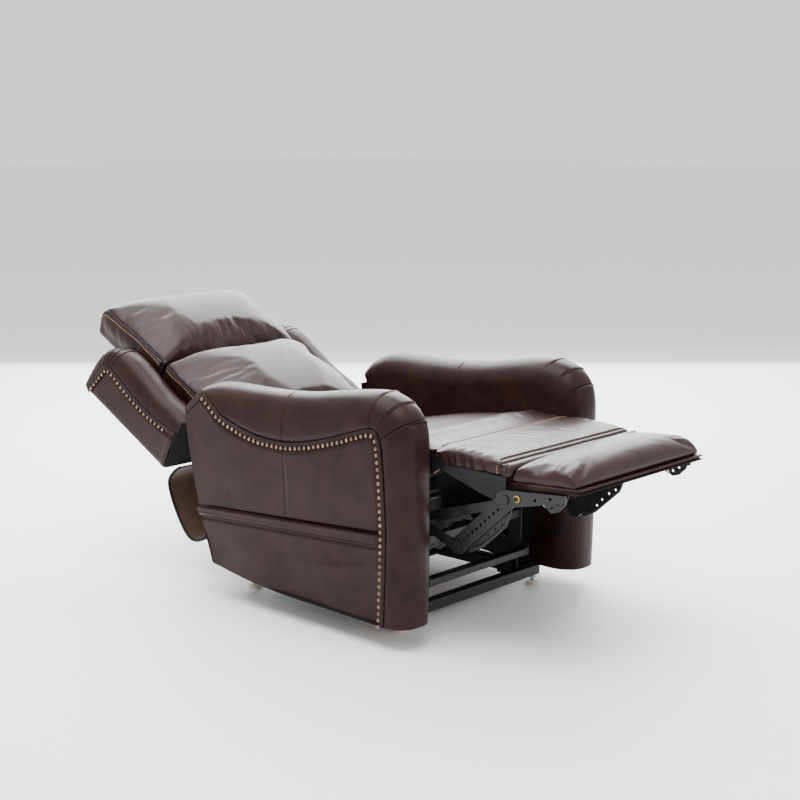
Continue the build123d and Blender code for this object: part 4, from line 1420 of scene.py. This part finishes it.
def turned(name, centre, axis, profile, material, sides=32):
    """Turned part: profile is (along the axis, radius) points."""
    axis = np.array(axis, float)
    a = np.cross(axis, (0.1, 0.7, 0.7))
    a /= np.linalg.norm(a)
    b = np.cross(axis, a)
    verts = []
    for along, radius in profile:
        for k in range(sides):
            q = 2 * math.pi * k / sides
            verts.append(
                np.array(centre) + along * axis + max(radius, 1e-5) * (math.cos(q) * a + math.sin(q) * b)
            )
    faces = grid_faces(len(profile), sides, wrap=True)
    faces.append(tuple(range(sides))[::-1])
    faces.append(tuple(range(len(verts) - sides, len(verts))))
    obj = new_piece(name, verts, faces, material)
    tidy_normals(obj)
    return obj


ANKLE = (-0.699, 0.410)
KNEE = (-0.530, 0.258)
TOE_PIVOT = (-0.737, 0.419)
RISER_PIVOTS = ((-0.310, 0.059), (-0.278, 0.132))


def make_mechanism():
    """Detail of the steelwork that the photograph shows round the footrest's links."""
    link = np.array(ANKLE) - np.array(KNEE)
    link /= np.linalg.norm(link)
    across = np.array([link[1], -link[0]])
    for name, side in SIDES.items():
        corners = [
            (0.004, -0.018), (0.018, 0.034), (0.060, 0.046), (0.165, 0.046), (0.205, 0.024), (0.222, -0.016)
        ]
        outline = [tuple(np.array(KNEE) + a * link - o * across) for a, o in corners]
        holes = [
            tuple(np.array(KNEE) + a * link - o * across) for a,
            o in ((0.10, 0.030), (0.13, 0.030), (0.13, 0.018), (0.075, 0.033), (0.155, 0.034))
        ]
        web = plate(f"{name}_link_channel", outline, side * 0.2440, 0.0025, LINK_STEEL, holes, 0.0032)
        done(web, "upper_leg_links", "black_steel")
        ridge = [
            tuple(np.array(KNEE) + a * link - o * across) for a,
            o in ((0.03, 0.028), (0.07, 0.040), (0.16, 0.040), (0.195, 0.022))
        ]
        flange = tube(
            f"{name}_link_flange", dense([(side * 0.2450, *p) for p in ridge], 0.004), 0.0042, LINK_STEEL, 12
        )
        done(flange, "upper_leg_links", "black_steel")

        toe = [
            (-0.800, 0.444), (-0.884, 0.451), (-0.874, 0.424), (-0.853, 0.404), (-0.832, 0.398),
            (-0.812, 0.412)
        ]
        bracket = plate(f"{name}_toe_bracket", toe, side * 0.2630, 0.003, LINK_STEEL,
                        ((-0.834, 0.413), (-0.852, 0.424), (-0.832, 0.436), (-0.862, 0.440)), 0.0034)
        done(bracket, "footrest", "black_steel")
        tab = [(-0.790, 0.432), (-0.822, 0.416), (-0.826, 0.402), (-0.800, 0.414)]
        flipper = plate(f"{name}_toe_flipper", tab, side * 0.2590, 0.004, WHITE_PLASTIC)
        done(flipper, "footrest", None)
        ring = [(0.0, 0.0), (0.0, 0.0088), (0.0025, 0.0088), (0.0035, 0.0075), (0.0035, 0.0)]
        washer = turned(f"{name}_toe_washer", (side * 0.2744, *TOE_PIVOT), (side, 0, 0), ring, YELLOW_PLASTIC)
        done(washer, "footrest", None)
        rivet = [(0.0, 0.0), (0.0, 0.0065), (0.0022, 0.0062), (0.0036, 0.0040), (0.0040, 0.0)]
        cap = turned(f"{name}_toe_rivet", (side * 0.2776, *TOE_PIVOT), (side, 0, 0), rivet, BLACK_STEEL)
        done(cap, "footrest", "black_steel")
        bush = turned(f"{name}_knee_bush", (side * 0.2535, *KNEE), (side, 0, 0), ring, RED_PLASTIC)
        done(bush, "lower_leg_links", None)
        for k, pivot in enumerate(RISER_PIVOTS):
            wheel = [
                (0.0, 0.0), (0.0, 0.017), (0.003, 0.0185), (0.010, 0.0185), (0.013, 0.017), (0.013, 0.009),
                (0.011, 0.008), (0.011, 0.0)
            ]
            cover = turned(
                f"{name}_riser_boss_{k}", (side * 0.2425, *pivot), (side, 0, 0), wheel, BLACK_PLASTIC
            )
            done(cover, "base", "black_plastic")

        sleeve = [
            (-0.480, 0.472), (-0.704, 0.468), (-0.704, 0.437), (-0.672, 0.424), (-0.660, 0.408),
            (-0.560, 0.436), (-0.484, 0.460)
        ]
        top, low = sleeve[:2], sleeve[2:][::-1]
        cloth = drape_strip(f"{name}_arm_sleeve", top, low, side * 0.2772)
        done(cloth, "footrest", "dust_cloth")


def drape_strip(name, top, low, x):
    """Thin cloth between an upper and a lower line in a side plane, a little wavy."""
    columns, rows = 60, 12
    a, b = along_curve(top, np.linspace(0, 1, columns)), along_curve(low, np.linspace(0, 1, columns))
    verts = []
    for layer in (0, 1):
        for r in range(rows):
            v = r / (rows - 1)
            for c in range(columns):
                p = a[c] * (1 - v) + b[c] * v
                wave = 0.0012 * math.sin(60 * p[0] + 4 * v) * v
                inward = math.copysign(0.0012 * layer, x)
                verts.append((x - inward + wave, *p))
    faces = grid_faces(rows, columns)
    faces += [tuple(rows * columns + i for i in f[::-1]) for f in grid_faces(rows, columns)]
    obj = new_piece(name, verts, faces, DUST_CLOTH)
    tidy_normals(obj)
    return obj


# ---------------------------------------------------------------- the whole chair
make_camera()
make_stage()
make_lights()
dress_frame()
for side_name, side_sign in SIDES.items():
    make_arm(side_name, side_sign)
    make_wing(side_name, side_sign)
make_seat()
make_chaise()
make_footrest()
make_back_cushion()
make_headrest()
make_back_rear()
make_flap()
make_dust_panel()
make_mechanism()
